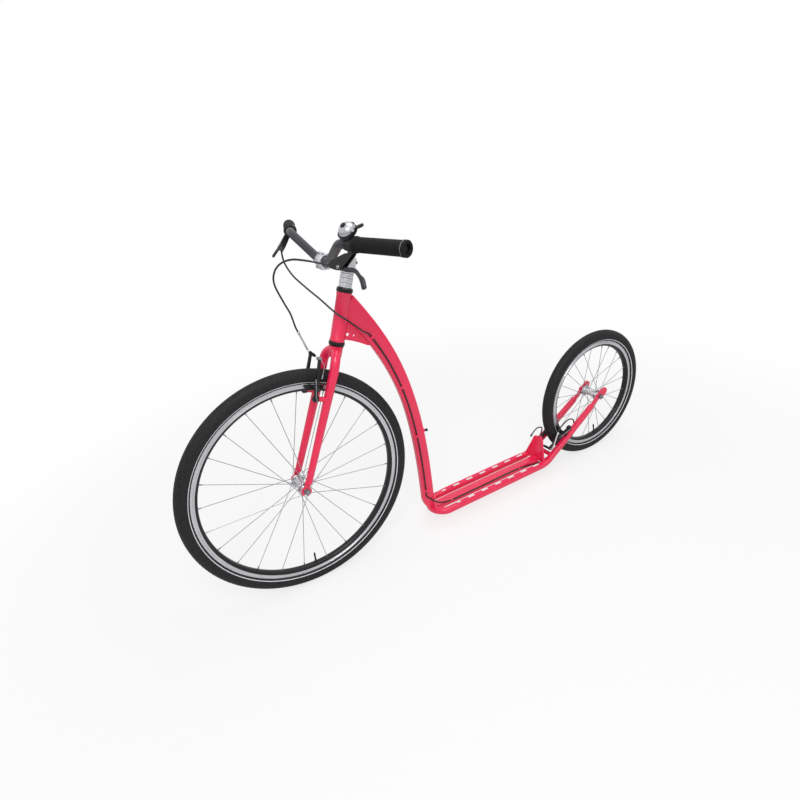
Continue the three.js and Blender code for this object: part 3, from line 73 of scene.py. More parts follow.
HEAD_LENGTH, HEAD_RADIUS, CUP_RADIUS, CUP_HEIGHT = 129, 19.5, 22, 12
CROWN_TOP, CROWN_HEIGHT, CROWN_BOSS = FRONT_RADIUS + 65.5, 62, 19
CROWN_BOTTOM = CROWN_TOP - CROWN_HEIGHT
LEG_SPREAD, LEG_TOP, LEG_BOTTOM = 38, 13, 9.5
LEG_TOP_FORWARD, LEG_END_FORWARD, LEG_END_LIFT = 14, 41.5, 26
DROPOUT_THICK, DROPOUT_RADIUS = 6, 15
DROPOUT_INNER = HUB_LENGTH / 2 + SEAM
DROPOUT_OUTER = DROPOUT_INNER + DROPOUT_THICK
DROPOUT_MIDDLE = (DROPOUT_INNER + DROPOUT_OUTER) / 2
HEAD_BOTTOM = CROWN_TOP + CUP_HEIGHT + 2 * SEAM
HEAD_TOP = HEAD_BOTTOM + HEAD_LENGTH
SPACER_BOTTOM = HEAD_TOP + CUP_HEIGHT + 2 * SEAM
SPACER_RADIUS, SPACER_STACK, SPACER_RINGS = 17.5, 36, 3
STEM_CLAMP_HEIGHT, STEM_CLAMP_RADIUS, STEM_REACH = 40, 18.5, 68
STEM_MIDDLE = SPACER_BOTTOM + SPACER_STACK + STEM_CLAMP_HEIGHT / 2 + SEAM
BAR_CLAMP_RADIUS, BAR_CLAMP_WIDTH, BAR_CLAMP_WALL = 12.7, 34, 6.5
BAR_RADIUS, BAR_MIDDLE_HALF, BEND_RUN = 11.1, 30, 20
BAR_BORE = BAR_RADIUS + 0.2
BAR_MIDDLE = v(STEM_REACH, 0, STEM_MIDDLE)
BEND_OUT, BEND_FORWARD, BEND_RISE = 152, 38, 50
BAR_HALF, GRIP_BACK, GRIP_RISE = 337, 24, 66
GRIP_LENGTH, GRIP_RADIUS, GRIP_COLLAR, GRIP_RIBS = 146, 16.5, 18, 34
LEVER_REACH, LEVER_INBOARD, LEVER_CLAMP_WIDTH = 50, 34, 13
LEVER_LENGTH, LEVER_WIDTH, LEVER_THICK = 84, 12, 8
LEVER_PIVOT = v(-LEVER_INBOARD, LEVER_REACH)
BARREL_INBOARD, BARREL_LENGTH = 26, 15
BRACKET_END, BARREL_OUT = LEVER_PIVOT.x - BARREL_INBOARD, LEVER_PIVOT.y - LEVER_WIDTH / 4
LEVER_DROPS = {"left": rad(72), "right": rad(45)}
CLAMP_INBOARD = GRIP_LENGTH + SEAM + LEVER_CLAMP_WIDTH / 2 + 1
BELL_RADIUS, BELL_HEIGHT, BELL_CLAMP_WIDTH, BELL_WALL, BELL_RIM = 20, 17, 11, 1.3, 6.6
BELL_STAND, BELL_NECK_LEAN, BELL_LEAN, THUMB_TURN = 23, rad(7), rad(58), rad(-60)
BOSS_DROP, BOSS_SPREAD = 28, 40
ARM_LENGTH, ARM_FOOT, ARM_TOP, ARM_THICK, ARM_TOP_SPREAD = 104, 15, 10, 9, 31
PAD_GAP, PAD_LENGTH, PAD_HEIGHT = 2.2, 52, 10
NOODLE_RADIUS, NOODLE_OUT, NOODLE_BEND, NOODLE_FORWARD = 2.6, 14.5, 9, 38
WIRE_HEIGHT, WIRE_RADIUS, SPRING_RADIUS = ARM_LENGTH + SEAM + NOODLE_RADIUS, 0.8, 0.9
CABLE_RADIUS, CABLE_END, CABLE_LEAD = 2.4, 0.5, 12
TUBE_WIDTH, TUBE_DEPTH, TUBE_TOP_DEPTH, FLARE_SHARE = 25, 42, 57, 0.45
TUBE_LEAN, TUBE_DROP, TUBE_TOP_PULL, TUBE_FOOT_PULL = rad(54), 22, 254, 395
GUIDE_SHARES, GUIDE_HALF, CABLE_FORWARD = (0.16, 0.4, 0.63, 0.9), 4.5, 11
PEG_HEIGHT, PEG_RADIUS, PEG_LENGTH, PEG_LEFTWARD = 371, 3.9, 20, 0.65
FOOT_BOSS_RISE, FOOT_BOSS_LENGTH, FOOT_BOSS_WAY = 26, 12, v(-1, 0.45, 0.25).normalized()
GUSSET_REACH, GUSSET_DROP, GUSSET_THICK, WELD_RADIUS = 64, 40, 5, 1.4
DECK_TOP, DECK_FRONT, DECK_LENGTH = 69, 413, 494
RAIL_WIDTH, RAIL_HEIGHT, RAIL_SPREAD, RAIL_BEND = 21, 20, 47, 24
YOKE_SPREAD, YOKE_DEPTH, YOKE_BEND, YOKE_INSET = 19, 38, 18, 11
FOOT_CURL, FOOT_CURL_HEIGHT = 10, 48
BEAM_WIDTH, BEAM_HEIGHT, BEAM_ASIDE, BEAM_DEEPER = 28, 19, 2.4, 1.8
CLIP_PLACES = (-498, -804)
STRIP_WIDTH, STRIP_THICK, STRIP_FRONT_GAP, STRIP_REAR_GAP = 16, 1, 32, 10
CHECK_PITCH, CHECK_LENGTH, CHECK_WIDTH, CHECK_INSIDE, CHECK_FROM = 59.5, 25, 8.4, 3, 36.75
PLATE_HEIGHT, PLATE_WIDTH, PLATE_TOP_WIDTH, PLATE_THICK = 90, 96, 40, 4
PLATE_LEAN, PLATE_AHEAD, PLATE_HOLLOW, PLATE_CORNER, PLATE_EDGE = 20, 14, 12, 9, 3.6
STAY_TAIL, STAY_TAIL_RADIUS, STAY_TAIL_HALF = 40, 11, 7.5
BRIDGE_ALONG, BRIDGE_RADIUS = 40, 8
ROW_SHIFT = v((WHEELBASE + REAR_RADIUS - FRONT_RADIUS) / 2)
FRONT_AXLE, REAR_AXLE = v(0, 0, FRONT_RADIUS), v(-WHEELBASE, 0, REAR_RADIUS)

# Cord routes: share of the way, and the stray along X, Y and Z, in shares of the way's length
FRONT_BOWS = (
    (0.06, 0.12, -0.09, 0.085), (0.13, 0.22, -0.155, 0.155), (0.24, 0.275, -0.195, 0.195),
    (0.37, 0.29, -0.2, 0.21), (0.52, 0.26, -0.19, 0.2), (0.71, 0.155, -0.12, 0.13),
    (0.84, 0.075, -0.075, 0.085),
)
LOOP_BOWS = (
    (0.08, 0.04, -0.025, -0.035), (0.2, 0.07, -0.02, -0.045), (0.34, 0.085, 0.015, -0.03),
    (0.52, 0.11, 0.075, 0.01), (0.68, 0.14, 0.15, 0.045), (0.83, 0.12, 0.15, 0.065),
    (0.93, 0.055, 0.07, 0.03),
)
MAIN_CABLE_SHARES = (0.18, 0.23, 0.3, 0.4, 0.5, 0.63, 0.75, 0.87, 0.9, 0.93)
# At the tube's foot: X, how far inside the cable's line along the beam, and Z
FOOT_CABLE = ((-414, 1, 112), (-427, 0.6, 97), (-444, 0.2, 83), (-463, 0, 74), (-484, 0, 69))
# Between the stays: above them, the share of the way out to the brake boss, and along them.
# The first and last are in shares of the boss's distance from the axle.
STAY_CABLE_SHARES = (
    (-0.09, 0, 1.58), (-0.09, 0, 1.3), (-0.09, 0, 1), (-0.05, 0, 0.88), (0.03, 0, 0.815),
    (0.12, 0.2, 0.8), (0.22, 0.54, 0.84), (0.3, 0.85, 0.92), (0.335, 1, 1.06),
)
# Tails of the brake wires, in the bike's frame
WIRE_TAILS = {
    "front": ((-119, 45, 693), (-115, 47, 681), (-107, 46, 662)),
    "rear": ((-968, -42, 130), (-974, -45, 149), (-950, -43, 158), (-930, -41, 151),
             (-913, -38, 140)),
}
# A return spring, in its arm's frame and turned inward by its Y
SPRING_WIRE = ((-6, -4, -5), (-2, -9.6, -3), (2, -10, 6), (4, -8.6, 20), (5, -5, 36),
               (5.4, -1, 48), (5.4, 3, 54))
# A lever blade's middle, along and out in shares of its length, and its share of the full width
BLADE = (
    (0, 0, 0.9), (0.27, 0.04, 0.9), (0.5, 0.035, 0.85), (0.6, 0.06, 0.75), (0.72, 0.15, 0.66),
    (0.85, 0.26, 1.1), (0.93, 0.43, 1.1),
)
# Turned outlines: inset from the full radius and the way along
CUP_STEPS = ((7, 0), (1.5, 0), (0.6, 0.8), (0, 3.6), (0, 5.6), (1.1, 6), (1.1, 6.7), (0.1, 7.1),
             (0.6, 9.4), (2.4, CUP_HEIGHT - 0.5), (4, CUP_HEIGHT), (7, CUP_HEIGHT))
GRIP_OUTER_END = ((0.5, -13), (-0.2, -12.4), (-0.9, -11.4), (-0.9, -8.6), (-0.2, -7.8),
                  (-0.2, -6.8), (-1, -6), (-1, -1.6), (-0.1, -0.3), (1, 0))
# The stem's neck: forward, half width and half height
NECK = ((6, 15, 16), (14, 14.5, 14.5), (22, 13, 12.6), (32, 12.4, 12), (44, 12.6, 12),
        (52, 14.5, 13), (58, 16.5, 15), (62, 16.6, 16))

# Camera, fitted to the photo
CAMERA_PLACE = v(0.86844, 1.27928, 1.19342)
CAMERA_YAW, CAMERA_PITCH, CAMERA_ROLL = rad(-116.943), rad(-28.187), rad(-7.305)
PIXELS, FOCAL_PIXELS, SHIFT_PIXELS = 800, 534.8, (6, 24.5)
SENSOR = 36

# Light
WORLD_LEVEL, LIT_HEIGHT = 0.5, 0.45
LAMPS = (
    ("key", (1.3, 2.2, 3.2), 1.8, 56),
    ("top", (-0.8, 0.2, 3.6), 2.4, 30),
)
FLOOR_SIZE, FLOOR_NEAR, FLOOR_FAR, FLOOR_GLOW = 60, 0.9, 2.2, 0.72


def add_object(name, data):
    thing = bpy.data.objects.new(name, data)
    bpy.context.scene.collection.objects.link(thing)
    return thing


def basis(x, y, z, origin=v()):
    return shift(origin) @ Matrix((x, y, z)).transposed().to_4x4()


def along_z(origin, axis):
    """A frame whose local Z runs along an axis."""
    turn = UPWARD.rotation_difference(axis.normalized())
    return shift(origin) @ turn.to_matrix().to_4x4()


def lerp(a, b, share):
    return a + (b - a) * share


def arc(radius, start, stop, steps):
    """Points round the origin, from one angle to another in degrees."""
    angles = [rad(lerp(start, stop, k / steps)) for k in range(steps + 1)]
    return [(radius * cos(a), radius * sin(a)) for a in angles]


def corner(start, here, end, steps):
    """A round way from start to end, drawn towards a corner."""
    shares = [k / steps for k in range(steps + 1)]
    return [start.lerp(here, t).lerp(here.lerp(end, t), t) for t in shares]


def cut_corner(before, here, after, reach, steps):
    start, end = (here + (p - here).normalized() * reach for p in (before, after))
    return corner(start, here, end, steps)


def rounded(outline, radius, steps=3):
    """A closed outline with its corners rounded."""
    points = [Vector(p) for p in outline]
    out = []
    for before, here, after in zip(points[-1:] + points, points, points[1:] + points[:1]):
        reach = min(radius, (before - here).length / 2.01, (after - here).length / 2.01)
        out += [tuple(p) for p in cut_corner(before, here, after, reach, steps)]
    return out


def bent(points, run, steps=8):
    """Straight runs joined by round bends."""
    out = [points[0]]
    for before, here, after in zip(points, points[1:], points[2:]):
        out += cut_corner(before, here, after, run, steps)
    return out + [points[-1]]


def dense(points, step):
    """The same way with more points on its straight runs."""
    out = [points[0]]
    for a, b in zip(points, points[1:]):
        parts = max(1, ceil((b - a).length / step))
        out += [a.lerp(b, k / parts) for k in range(1, parts + 1)]
    return out


def flowing(points, steps=8):
    """A smooth way through places, in the manner of a centripetal spline."""
    ends = [points[0] * 2 - points[1], *points, points[-1] * 2 - points[-2]]
    out = []
    for p0, p1, p2, p3 in zip(ends, ends[1:], ends[2:], ends[3:]):
        d0, d1, d2 = (max((b - a).length ** 0.5, 1e-4) for a, b in ((p0, p1), (p1, p2), (p2, p3)))
        m1 = ((p1 - p0) / d0 - (p2 - p0) / (d0 + d1) + (p2 - p1) / d1) * d1
        m2 = ((p2 - p1) / d1 - (p3 - p1) / (d1 + d2) + (p3 - p2) / d2) * d1
        for t in (k / steps for k in range(steps)):
            out.append(p1 * (2 * t**3 - 3 * t**2 + 1) + m1 * (t**3 - 2 * t**2 + t)
                       + p2 * (3 * t**2 - 2 * t**3) + m2 * (t**3 - t**2))
    return out + [points[-1]]


def both_ends(half, middle=0):
    """The half of a turned outline, and its mirror image beyond the middle."""
    return half + [(r, 2 * middle - z) for r, z in reversed(half)]


# Shells. Each is a list of points and a list of faces, and may hold the faces' looks too.
def skin(rings, loop=False):
    """Faces between rings of points, closed by the first ring again or by two flat ends."""
    count, rows = len(rings[0]), len(rings)
    faces = []
    for row in range(rows if loop else rows - 1):
        a, b = row * count, (row + 1) % rows * count
        for i in range(count):
            j = (i + 1) % count
            faces.append((a + i, a + j, b + j, b + i))
    if not loop:
        last = (rows - 1) * count
        faces += [tuple(reversed(range(count))), tuple(range(last, last + count))]
    return [p for ring in rings for p in ring], faces


def moved(shell, matrix):
    return [matrix @ p for p in shell[0]], shell[1]


def tinted(shell, look):
    return *shell, [look] * len(shell[1])


def banded(shell, count, second):
    """Gives a turned shell's second look to those of its outline's faces."""
    return *shell, [int(face % count in second) for face in range(len(shell[1]))]


def lathe(profile, segments=48, wobble=None):
    """A closed profile of (radius, along) turned about local Z."""
    rings = []
    for k in range(segments):
        angle = 2 * pi * k / segments
        radii = [r + (wobble(i, k) if wobble else 0) for i, (r, _) in enumerate(profile)]
        rings.append([v(r * cos(angle), r * sin(angle), z) for r, (_, z) in zip(radii, profile)])
    return skin(rings, loop=True)


def turned(profile, origin, axis, segments=48):
    return moved(lathe(profile, segments), along_z(origin, axis))


def rod(start, end, radius, end_radius=None, sides=24, chamfer=0.4):
    """A round bar with soft ends."""
    end_radius = radius if end_radius is None else end_radius
    length = (end - start).length
    c = min(chamfer, radius / 3, end_radius / 3, length / 3)
    profile = [(0, 0), (radius - c, 0), (radius, c), (end_radius, length - c),
               (end_radius - c, length), (0, length)]
    return turned(profile, start, end - start, sides)


def ring_tube(start, end, outer, inner, soft=0.6, segments=40):
    half = (end - start).length / 2
    profile = [(inner, -half), (outer, -half), (outer, half), (inner, half)]
    return turned(rounded(profile, soft), (start + end) / 2, end - start, segments)


def section(centre, side, up, half_side, half_up, sides=28, power=1.0):
    """A ring of points round a centre. A power under 1 squares it off."""
    ring = []
    for angle in (2 * pi * (i + 0.5) / sides for i in range(sides)):
        across, above = (copysign(abs(w) ** power, w) for w in (cos(angle), sin(angle)))
        ring.append(centre + side * (half_side * across) + up * (half_up * above))
    return ring


def directions(points):
    last = len(points) - 1
    return [(points[min(i + 1, last)] - points[max(i - 1, 0)]).normalized()
            for i in range(last + 1)]


def about(middle, half):
    """Two ends that lie equally far from a middle."""
    return middle - half, middle + half


def upright(side, along):
    """The directions across and above a bar that lie nearest to one side direction."""
    across = (side - along * side.dot(along)).normalized()
    return across, across.cross(along)


def bar(points, side, halves, sides=28, power=1.0):
    """A bar that keeps its width near one side direction."""
    rings = []
    for i, (point, along) in enumerate(zip(points, directions(points))):
        half = halves(i / (len(points) - 1)) if callable(halves) else halves
        rings.append(section(point, *upright(side, along), *half, sides, power))
    return skin(rings)


def closing(point, along, across, up, halves, steps, sides, power):
    """Rings that close a bar's end. Each has its step beyond the end and its share of the size."""
    half_side, half_up = halves
    return [section(point + along * step, across, up, half_side * share, half_up * share, sides,
                    power) for step, share in steps]


def cord(points, radius, sides=12):
    """A round tube that carries its section along without twisting it."""
    ways = directions(points)
    up = ways[0].orthogonal().normalized()
    rings = []
    for i, (point, way) in enumerate(zip(points, ways)):
        if i:
            up = ways[i - 1].rotation_difference(way) @ up
        r = radius[i] if isinstance(radius, list) else radius
        rings.append(section(point, way.cross(up), up, r, r, sides))
    return skin(rings)


def slab(outline, thickness, holes=(), soft=0, steps=3):
    """A flat plate in the local X-Y plane, with round holes."""
    outer = rounded(outline, soft, steps) if soft else outline
    loops = [[v(x, y) for x, y in outer]]
    for x, y, radius in holes:
        loops.append([v(x + a, y + b) for a, b in arc(radius, 0, 345, 23)])
    flat = [p for loop in loops for p in loop]
    count, half = len(flat), v(0, 0, thickness / 2)
    triangles = geometry.tessellate_polygon(loops)
    faces = [tuple(t) for t in triangles] + [tuple(count + i for i in t[::-1]) for t in triangles]
    start = 0
    for loop in loops:
        for i in range(len(loop)):
            a, b = start + i, start + (i + 1) % len(loop)
            faces.append((a, b, count + b, count + a))
        start += len(loop)
    return [p + half for p in flat] + [p - half for p in flat], faces


def hexagon(radius, height, chamfer):
    """A nut or bolt head with its corners turned off, standing on local z = 0."""
    profile = ((0.9, 0), (1, chamfer), (1, height - chamfer), (0.86, height))
    return skin([[v(x, y, z) for x, y in arc(radius * share, 0, 300, 5)] for share, z in profile])


def socket_bolt(place, axis, radius=3, height=3):
    """A round bolt head with a socket."""
    profile = [(0, 0.8), (radius * 0.5, 0.8), (radius * 0.5, height), (radius * 0.86, height),
               (radius, height - 0.6), (radius, -4), (0, -4)]
    return turned(profile, place, axis, 24)


def axle_slot(start, depth, steps):
    """The outline of an axle's slot, from one side of its mouth round to the other."""
    half = AXLE_RADIUS + SEAM
    side, down = (Vector((cos(rad(a)), sin(rad(a)))) for a in (start, start + 90))
    first, last = (tuple(down * depth + side * out) for out in (half, -half))
    return [first, *arc(half, start, start - 180, steps), last]


def piece(name, place, shells, looks, body, node=None, sharp=35, bevel=0):
    """Makes one finished piece from its shells. It rides on a body, unless that is None."""
    points, faces, marks = [], [], []
    for verts, sides, *own in shells:
        base = len(points)
        points += [(place @ p + ROW_SHIFT) * MM for p in verts]
        faces += [[base + i for i in side] for side in sides]
        marks += own[0] if own else [0] * len(sides)
    mesh = bpy.data.meshes.new(name)
    mesh.from_pydata(points, [], faces)
    for look in looks if isinstance(looks, list) else [looks]:
        mesh.materials.append(look)
    mesh.polygons.foreach_set("material_index", marks)
    bm = bmesh.new()
    bm.from_mesh(mesh)
    bmesh.ops.remove_doubles(bm, verts=bm.verts, dist=2e-7)
    bmesh.ops.dissolve_degenerate(bm, edges=bm.edges, dist=1e-7)
    bmesh.ops.recalc_face_normals(bm, faces=bm.faces)
    bm.to_mesh(mesh)
    bm.free()
    mesh.shade_smooth()
    mesh.set_sharp_from_angle(angle=rad(sharp))
    obj = add_object(name, mesh)
    if bevel:
        edge = obj.modifiers.new("edge", "BEVEL")
        edge.width, edge.segments = bevel * MM, 2
        edge.limit_method, edge.angle_limit = "ANGLE", rad(sharp)
        edge.harden_normals = True
    if body:
        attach(obj, body)
    if node:
        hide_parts(node)
    return obj


# Materials
def linear(*colour):
    shares = (c / 255 for c in colour)
    return *(s / 12.92 if s <= 0.04045 else ((s + 0.055) / 1.055) ** 2.4 for s in shares), 1


class Nodes:
    """A small helper for the nodes of a material or the world."""

    def __init__(self, owner):
        owner.use_nodes = True
        self.tree = owner.node_tree
        self.place = self.node("TexCoord")["Object"]

    def connect(self, value, socket):
        if isinstance(value, bpy.types.NodeSocket):
            self.tree.links.new(value, socket)
        else:
            socket.default_value = value

    def set(self, name, values):
        for key, value in values.items():
            self.connect(value, self.tree.nodes[name].inputs[key])

    def node(self, kind, inputs=(), **settings):
        """Adds a node and gives its outputs."""
        node = self.tree.nodes.new("ShaderNode" + kind)
        for key, value in settings.items():
            setattr(node, key, value)
        for key, value in dict(inputs).items():
            self.connect(value, node.inputs[key])
        return node.outputs

    def maths(self, operation, *values):
        return self.node("Math", enumerate(values), operation=operation)[0]

    def noise(self, scale, detail=3, place=None):
        inputs = {"Vector": place or self.place, "Scale": scale, "Detail": detail}
        return self.node("TexNoise", inputs)["Fac"]

    def stretched(self, scales):
        return self.node("Mapping", {"Vector": self.place, "Scale": scales})["Vector"]

    def split(self):
        return self.node("SeparateXYZ", {"Vector": self.place})

    def reach(self, a, b):
        squares = [self.maths("MULTIPLY", value, value) for value in (a, b)]
        return self.maths("SQRT", self.maths("ADD", *squares))

    def ranged(self, value, low, high, start=0.3, stop=0.7, **settings):
        inputs = {"Value": value, "From Min": start, "From Max": stop, "To Min": low,
                  "To Max": high}
        return self.node("MapRange", inputs, **settings)["Result"]

    def mixed(self, share, first, second):
        return self.node("Mix", {0: share, 6: first, 7: second}, data_type="RGBA")[2]

    def bump(self, height, strength, distance):
        inputs = {"Height": height, "Strength": strength, "Distance": distance}
        return self.node("Bump", inputs)["Normal"]

    def turned_rings(self, axle):
        """Fine rings round a wheel's axle."""
        split, place = self.split(), (axle + ROW_SHIFT) * MM
        x = self.maths("SUBTRACT", split["X"], place.x)
        z = self.maths("SUBTRACT", split["Z"], place.z)
        inputs = {"W": self.reach(x, z), "Scale": 2600, "Detail": 2}
        return self.node("TexNoise", inputs, noise_dimensions="1D")["Fac"]


def finish(name, tone, other, rough, metal=0.0, coat=0.0, cloud=25, grain=900, lift=0.00002,
           strength=0.3, stretch=None, specular=0.5, axle=None):
    """A surface with a slow change of tone, a change of gloss and a fine grain."""
    material = bpy.data.materials.new(name)
    n = Nodes(material)
    slow = n.noise(cloud, 4)
    fine = n.noise(grain, 2, n.stretched(stretch) if stretch else None)
    relief = n.turned_rings(axle) if axle else fine
    n.set("Principled BSDF", {
        "Base Color": n.mixed(n.ranged(slow, 0, 1), linear(*tone), linear(*other)),
        "Roughness": n.ranged(fine, *rough), "Metallic": metal,
        "Normal": n.bump(relief, strength, lift), "Coat Weight": coat, "Coat Roughness": 0.08,
        "Specular IOR Level": specular,
    })
    return material


def track_look(name, axle):
    """Machined brake track with fine turned rings."""
    return finish(name, (206, 207, 210), (188, 190, 194), (0.2, 0.34), metal=1.0, cloud=14,
                  lift=0.00005, strength=0.5, axle=axle)


def checker_look():
    """Gritty tape with a row of white blocks near its inner edge."""
    material = bpy.data.materials.new("grip_tape_check")
    n = Nodes(material)
    split = n.split()
    turns = n.maths("DIVIDE", n.maths("SUBTRACT", split["X"], CHECK_FROM * MM), CHECK_PITCH * MM)
    stray = n.maths("ABSOLUTE", n.maths("SUBTRACT", turns, n.maths("ROUND", turns)))
    row = (RAIL_SPREAD - CHECK_INSIDE) * MM
    inside = n.maths("SUBTRACT", n.maths("ABSOLUTE", split["Y"]), row)
    along = n.maths("LESS_THAN", stray, CHECK_LENGTH / 2 / CHECK_PITCH)
    across = n.maths("LESS_THAN", n.maths("ABSOLUTE", inside), CHECK_WIDTH / 2 * MM)
    grit, worn = n.noise(2600, 2), n.ranged(n.noise(60), 0, 1)
    white = n.mixed(worn, linear(240, 236, 235), linear(226, 220, 220))
    pink = n.mixed(worn, linear(244, 54, 100), linear(232, 46, 90))
    n.set("Principled BSDF", {
        "Base Color": n.mixed(n.maths("MULTIPLY", along, across), pink, white),
        "Roughness": n.ranged(grit, 0.6, 0.85), "Normal": n.bump(grit, 0.6, 0.0002),
    })
    return material


PINK = finish("frame_paint", (242, 32, 84), (234, 28, 78), (0.24, 0.36), coat=0.25, cloud=9,
              grain=1400, lift=0.00001)
WELD = finish("weld_paint", (238, 38, 88), (222, 30, 78), (0.3, 0.45), coat=0.3, cloud=60,
              grain=500, lift=0.0002)
BLACK = finish("satin_black", (26, 26, 28), (18, 18, 20), (0.34, 0.5), cloud=40, grain=1200,
               specular=0.35)
GLOSS_BLACK = finish("gloss_black", (20, 20, 22), (13, 13, 15), (0.2, 0.32), cloud=40,
                     specular=0.35)
GREY = finish("lever_grey", (64, 65, 69), (52, 53, 57), (0.3, 0.42), metal=0.5, cloud=50)
BAR_GREY = finish("bar_grey", (62, 63, 67), (52, 53, 57), (0.32, 0.46), metal=0.35, cloud=20,
                  stretch=(1, 0.15, 1), grain=1500)
SILVER = finish("polished_alloy", (214, 215, 218), (196, 197, 201), (0.2, 0.34), metal=0.9,
                cloud=30, grain=700)
STEEL = finish("drawn_steel", (168, 170, 174), (150, 152, 157), (0.38, 0.5), metal=0.7,
               cloud=90, grain=1500)
BOLT = finish("bolt_steel", (150, 152, 156), (128, 130, 135), (0.25, 0.4), metal=1.0,
              cloud=150, grain=2000)
DARK_BOLT = finish("dark_bolt", (58, 58, 61), (42, 42, 45), (0.25, 0.4), metal=0.6, cloud=150)
TYRE = finish("tyre_rubber", (44, 44, 46), (22, 22, 24), (0.5, 0.72), cloud=210, grain=1800,
              lift=0.00006, specular=0.2)
RING = finish("reflective_ring", (226, 227, 229), (208, 210, 213), (0.3, 0.45), cloud=80)
GRIP = finish("grip_rubber", (17, 17, 18), (11, 11, 12), (0.55, 0.75), cloud=70, grain=2200,
              lift=0.00008, specular=0.2)
PAD = finish("pad_rubber", (32, 32, 33), (24, 24, 25), (0.6, 0.78), cloud=90, specular=0.2)
CABLE = finish("cable_casing", (20, 20, 22), (14, 14, 16), (0.28, 0.4), cloud=60)
BELL = finish("bell_plating", (196, 198, 202), (172, 174, 179), (0.16, 0.26), metal=0.9,
              cloud=60)
CHECKED = checker_look()

# The steering frame
TILT = -(pi / 2 - HEAD_ANGLE)
STEER = shift(v(-RAKE * sin(HEAD_ANGLE), 0, FRONT_RADIUS - RAKE * cos(HEAD_ANGLE)))
STEER = STEER @ Matrix.Rotation(TILT, 4, "Y")


# Wheels
def tyre(prefix, wheel, axle, body):
    edge = wheel - TYRE_HEIGHT + SEAM
    bead = acos(RIM_WIDTH / TYRE_WIDTH)
    half_high = (wheel - edge) / (1 + sin(bead))
    middle = edge + half_high * sin(bead)
    steps = 40
    angles = [lerp(-bead, pi + bead, i / steps) for i in range(steps + 1)]
    outer = [(middle + half_high * sin(a), TYRE_WIDTH / 2 * cos(a)) for a in angles]
    half = RIM_WIDTH / 2
    profile = outer + [(edge, 3 - half), (edge + 8, -half), (edge + 8, half), (edge, half - 3)]

    def tread(i, k):
        """Slanted cuts beside the crown, and a groove round it on each side."""
        across = cos(angles[i]) if i <= steps else 1
        crown = abs(across)
        if crown > TREAD_STOP:
            return 0
        phase = (k / TREAD_CUTS + crown * TREAD_SLANT + (0.5 if across > 0 else 0)) % 1
        cut = TREAD_DEPTH if phase < TREAD_SHARE and crown > GROOVE_STOP else 0
        return -cut - (GROOVE_DEPTH if GROOVE_START < crown < GROOVE_STOP else 0)

    shell = lathe(profile, round(2 * pi * wheel / TREAD_PITCH) * TREAD_CUTS, tread)
    rise = [r - edge for r, _ in outer]
    white = [i for i in range(steps) if WHITE_LOW < rise[i] < WHITE_HIGH
             and WHITE_LOW < rise[i + 1] < WHITE_HIGH + 1]
    piece(prefix + "_tyre_tread", along_z(axle, LEFTWARD), [banded(shell, len(profile), white)],
          [TYRE, RING], body, prefix + "_tyre", 50)


def rim(prefix, wheel, axle, body):
    outer = wheel - TYRE_HEIGHT
    track, bed = outer - TRACK_HEIGHT, outer - RIM_DEPTH
    half, low = RIM_WIDTH / 2, RIM_BED / 2
    side = [
        (outer, half - 1.6), (outer - 0.3, half - 0.4), (outer - 1.2, half), (outer - 6.4, half),
        (outer - 6.9, half - 0.6), (outer - 7.7, half - 0.6), (outer - 8.2, half),
        (track + 0.8, half), (track, half - 0.3), (track - 0.4, half - 0.9),
        (track - 3, half - 1.7), (track - 6.5, half - 3.4), (bed + 1.2, low + 0.6),
        (bed + 0.3, low - 0.9), (bed, low - 2.4),
    ]
    profile = both_ends(side) + [(outer, RIM_WALL - half), (bed + 3, RIM_WALL - low),
                                 (bed + 3, low - RIM_WALL), (outer, half - RIM_WALL)]
    shiny = {*range(8), *range(len(side) + 6, 2 * len(side) + 4)}
    black = set(range(len(profile))) - shiny
    piece(prefix + "_rim_hoop", along_z(axle, LEFTWARD),
          [banded(lathe(profile, 176), len(profile), black)],
          [track_look(prefix + "_brake_track", axle), GLOSS_BLACK], body,
          prefix + "_rim", 28)


def spokes(prefix, wheel, axle, valve_angle, body):
    hole, flange = FLANGE_RADIUS - FLANGE_RIM, (FLANGE_SPACING + FLANGE_THICK) / 2
    inner = flange - FLANGE_THICK
    bed = wheel - TYRE_HEIGHT - RIM_DEPTH
    pitch = 2 * pi / SPOKES
    for name, side in HANDS:
        def at(radius, angle, out):
            return v(radius * sin(angle), side * out, radius * cos(angle))

        wires, caps = [], []
        phase = valve_angle + pitch / 4 + (0 if side > 0 else pitch / 2)
        for i in range(SPOKES):
            outside = i % 2
            hub_angle = i * pitch + phase
            rim_angle = hub_angle + (-1 if outside else 1) * CROSSINGS * pitch
            start = at(hole, hub_angle, flange + SPOKE_OFF if outside else inner - SPOKE_OFF)
            elbow = start.lerp(at(bed, rim_angle, 3.25), 0.012)
            end = at(bed + 3, rim_angle, 3.1)
            through = at(hole, hub_angle, (flange + inner) / 2)
            wires.append(cord([through, start, elbow, end], SPOKE_RADIUS, 8))
            neck = end - (end - start).normalized() * NIPPLE_LENGTH
            caps.append(rod(neck, end, 1.7, 2.0, 10))
            head, tip = (inner - 1.2, inner) if outside else (flange + 0.2, flange + 1.4)
            caps.append(rod(at(hole, hub_angle, head), at(hole, hub_angle, tip), 2.1, 1.6, 10))
        piece(f"{prefix}_spoke_wires_{name}", shift(axle), wires, STEEL, body,
              f"{prefix}_spokes_{name}")
        piece(f"{prefix}_nipples_{name}", shift(axle), caps, BOLT, body)


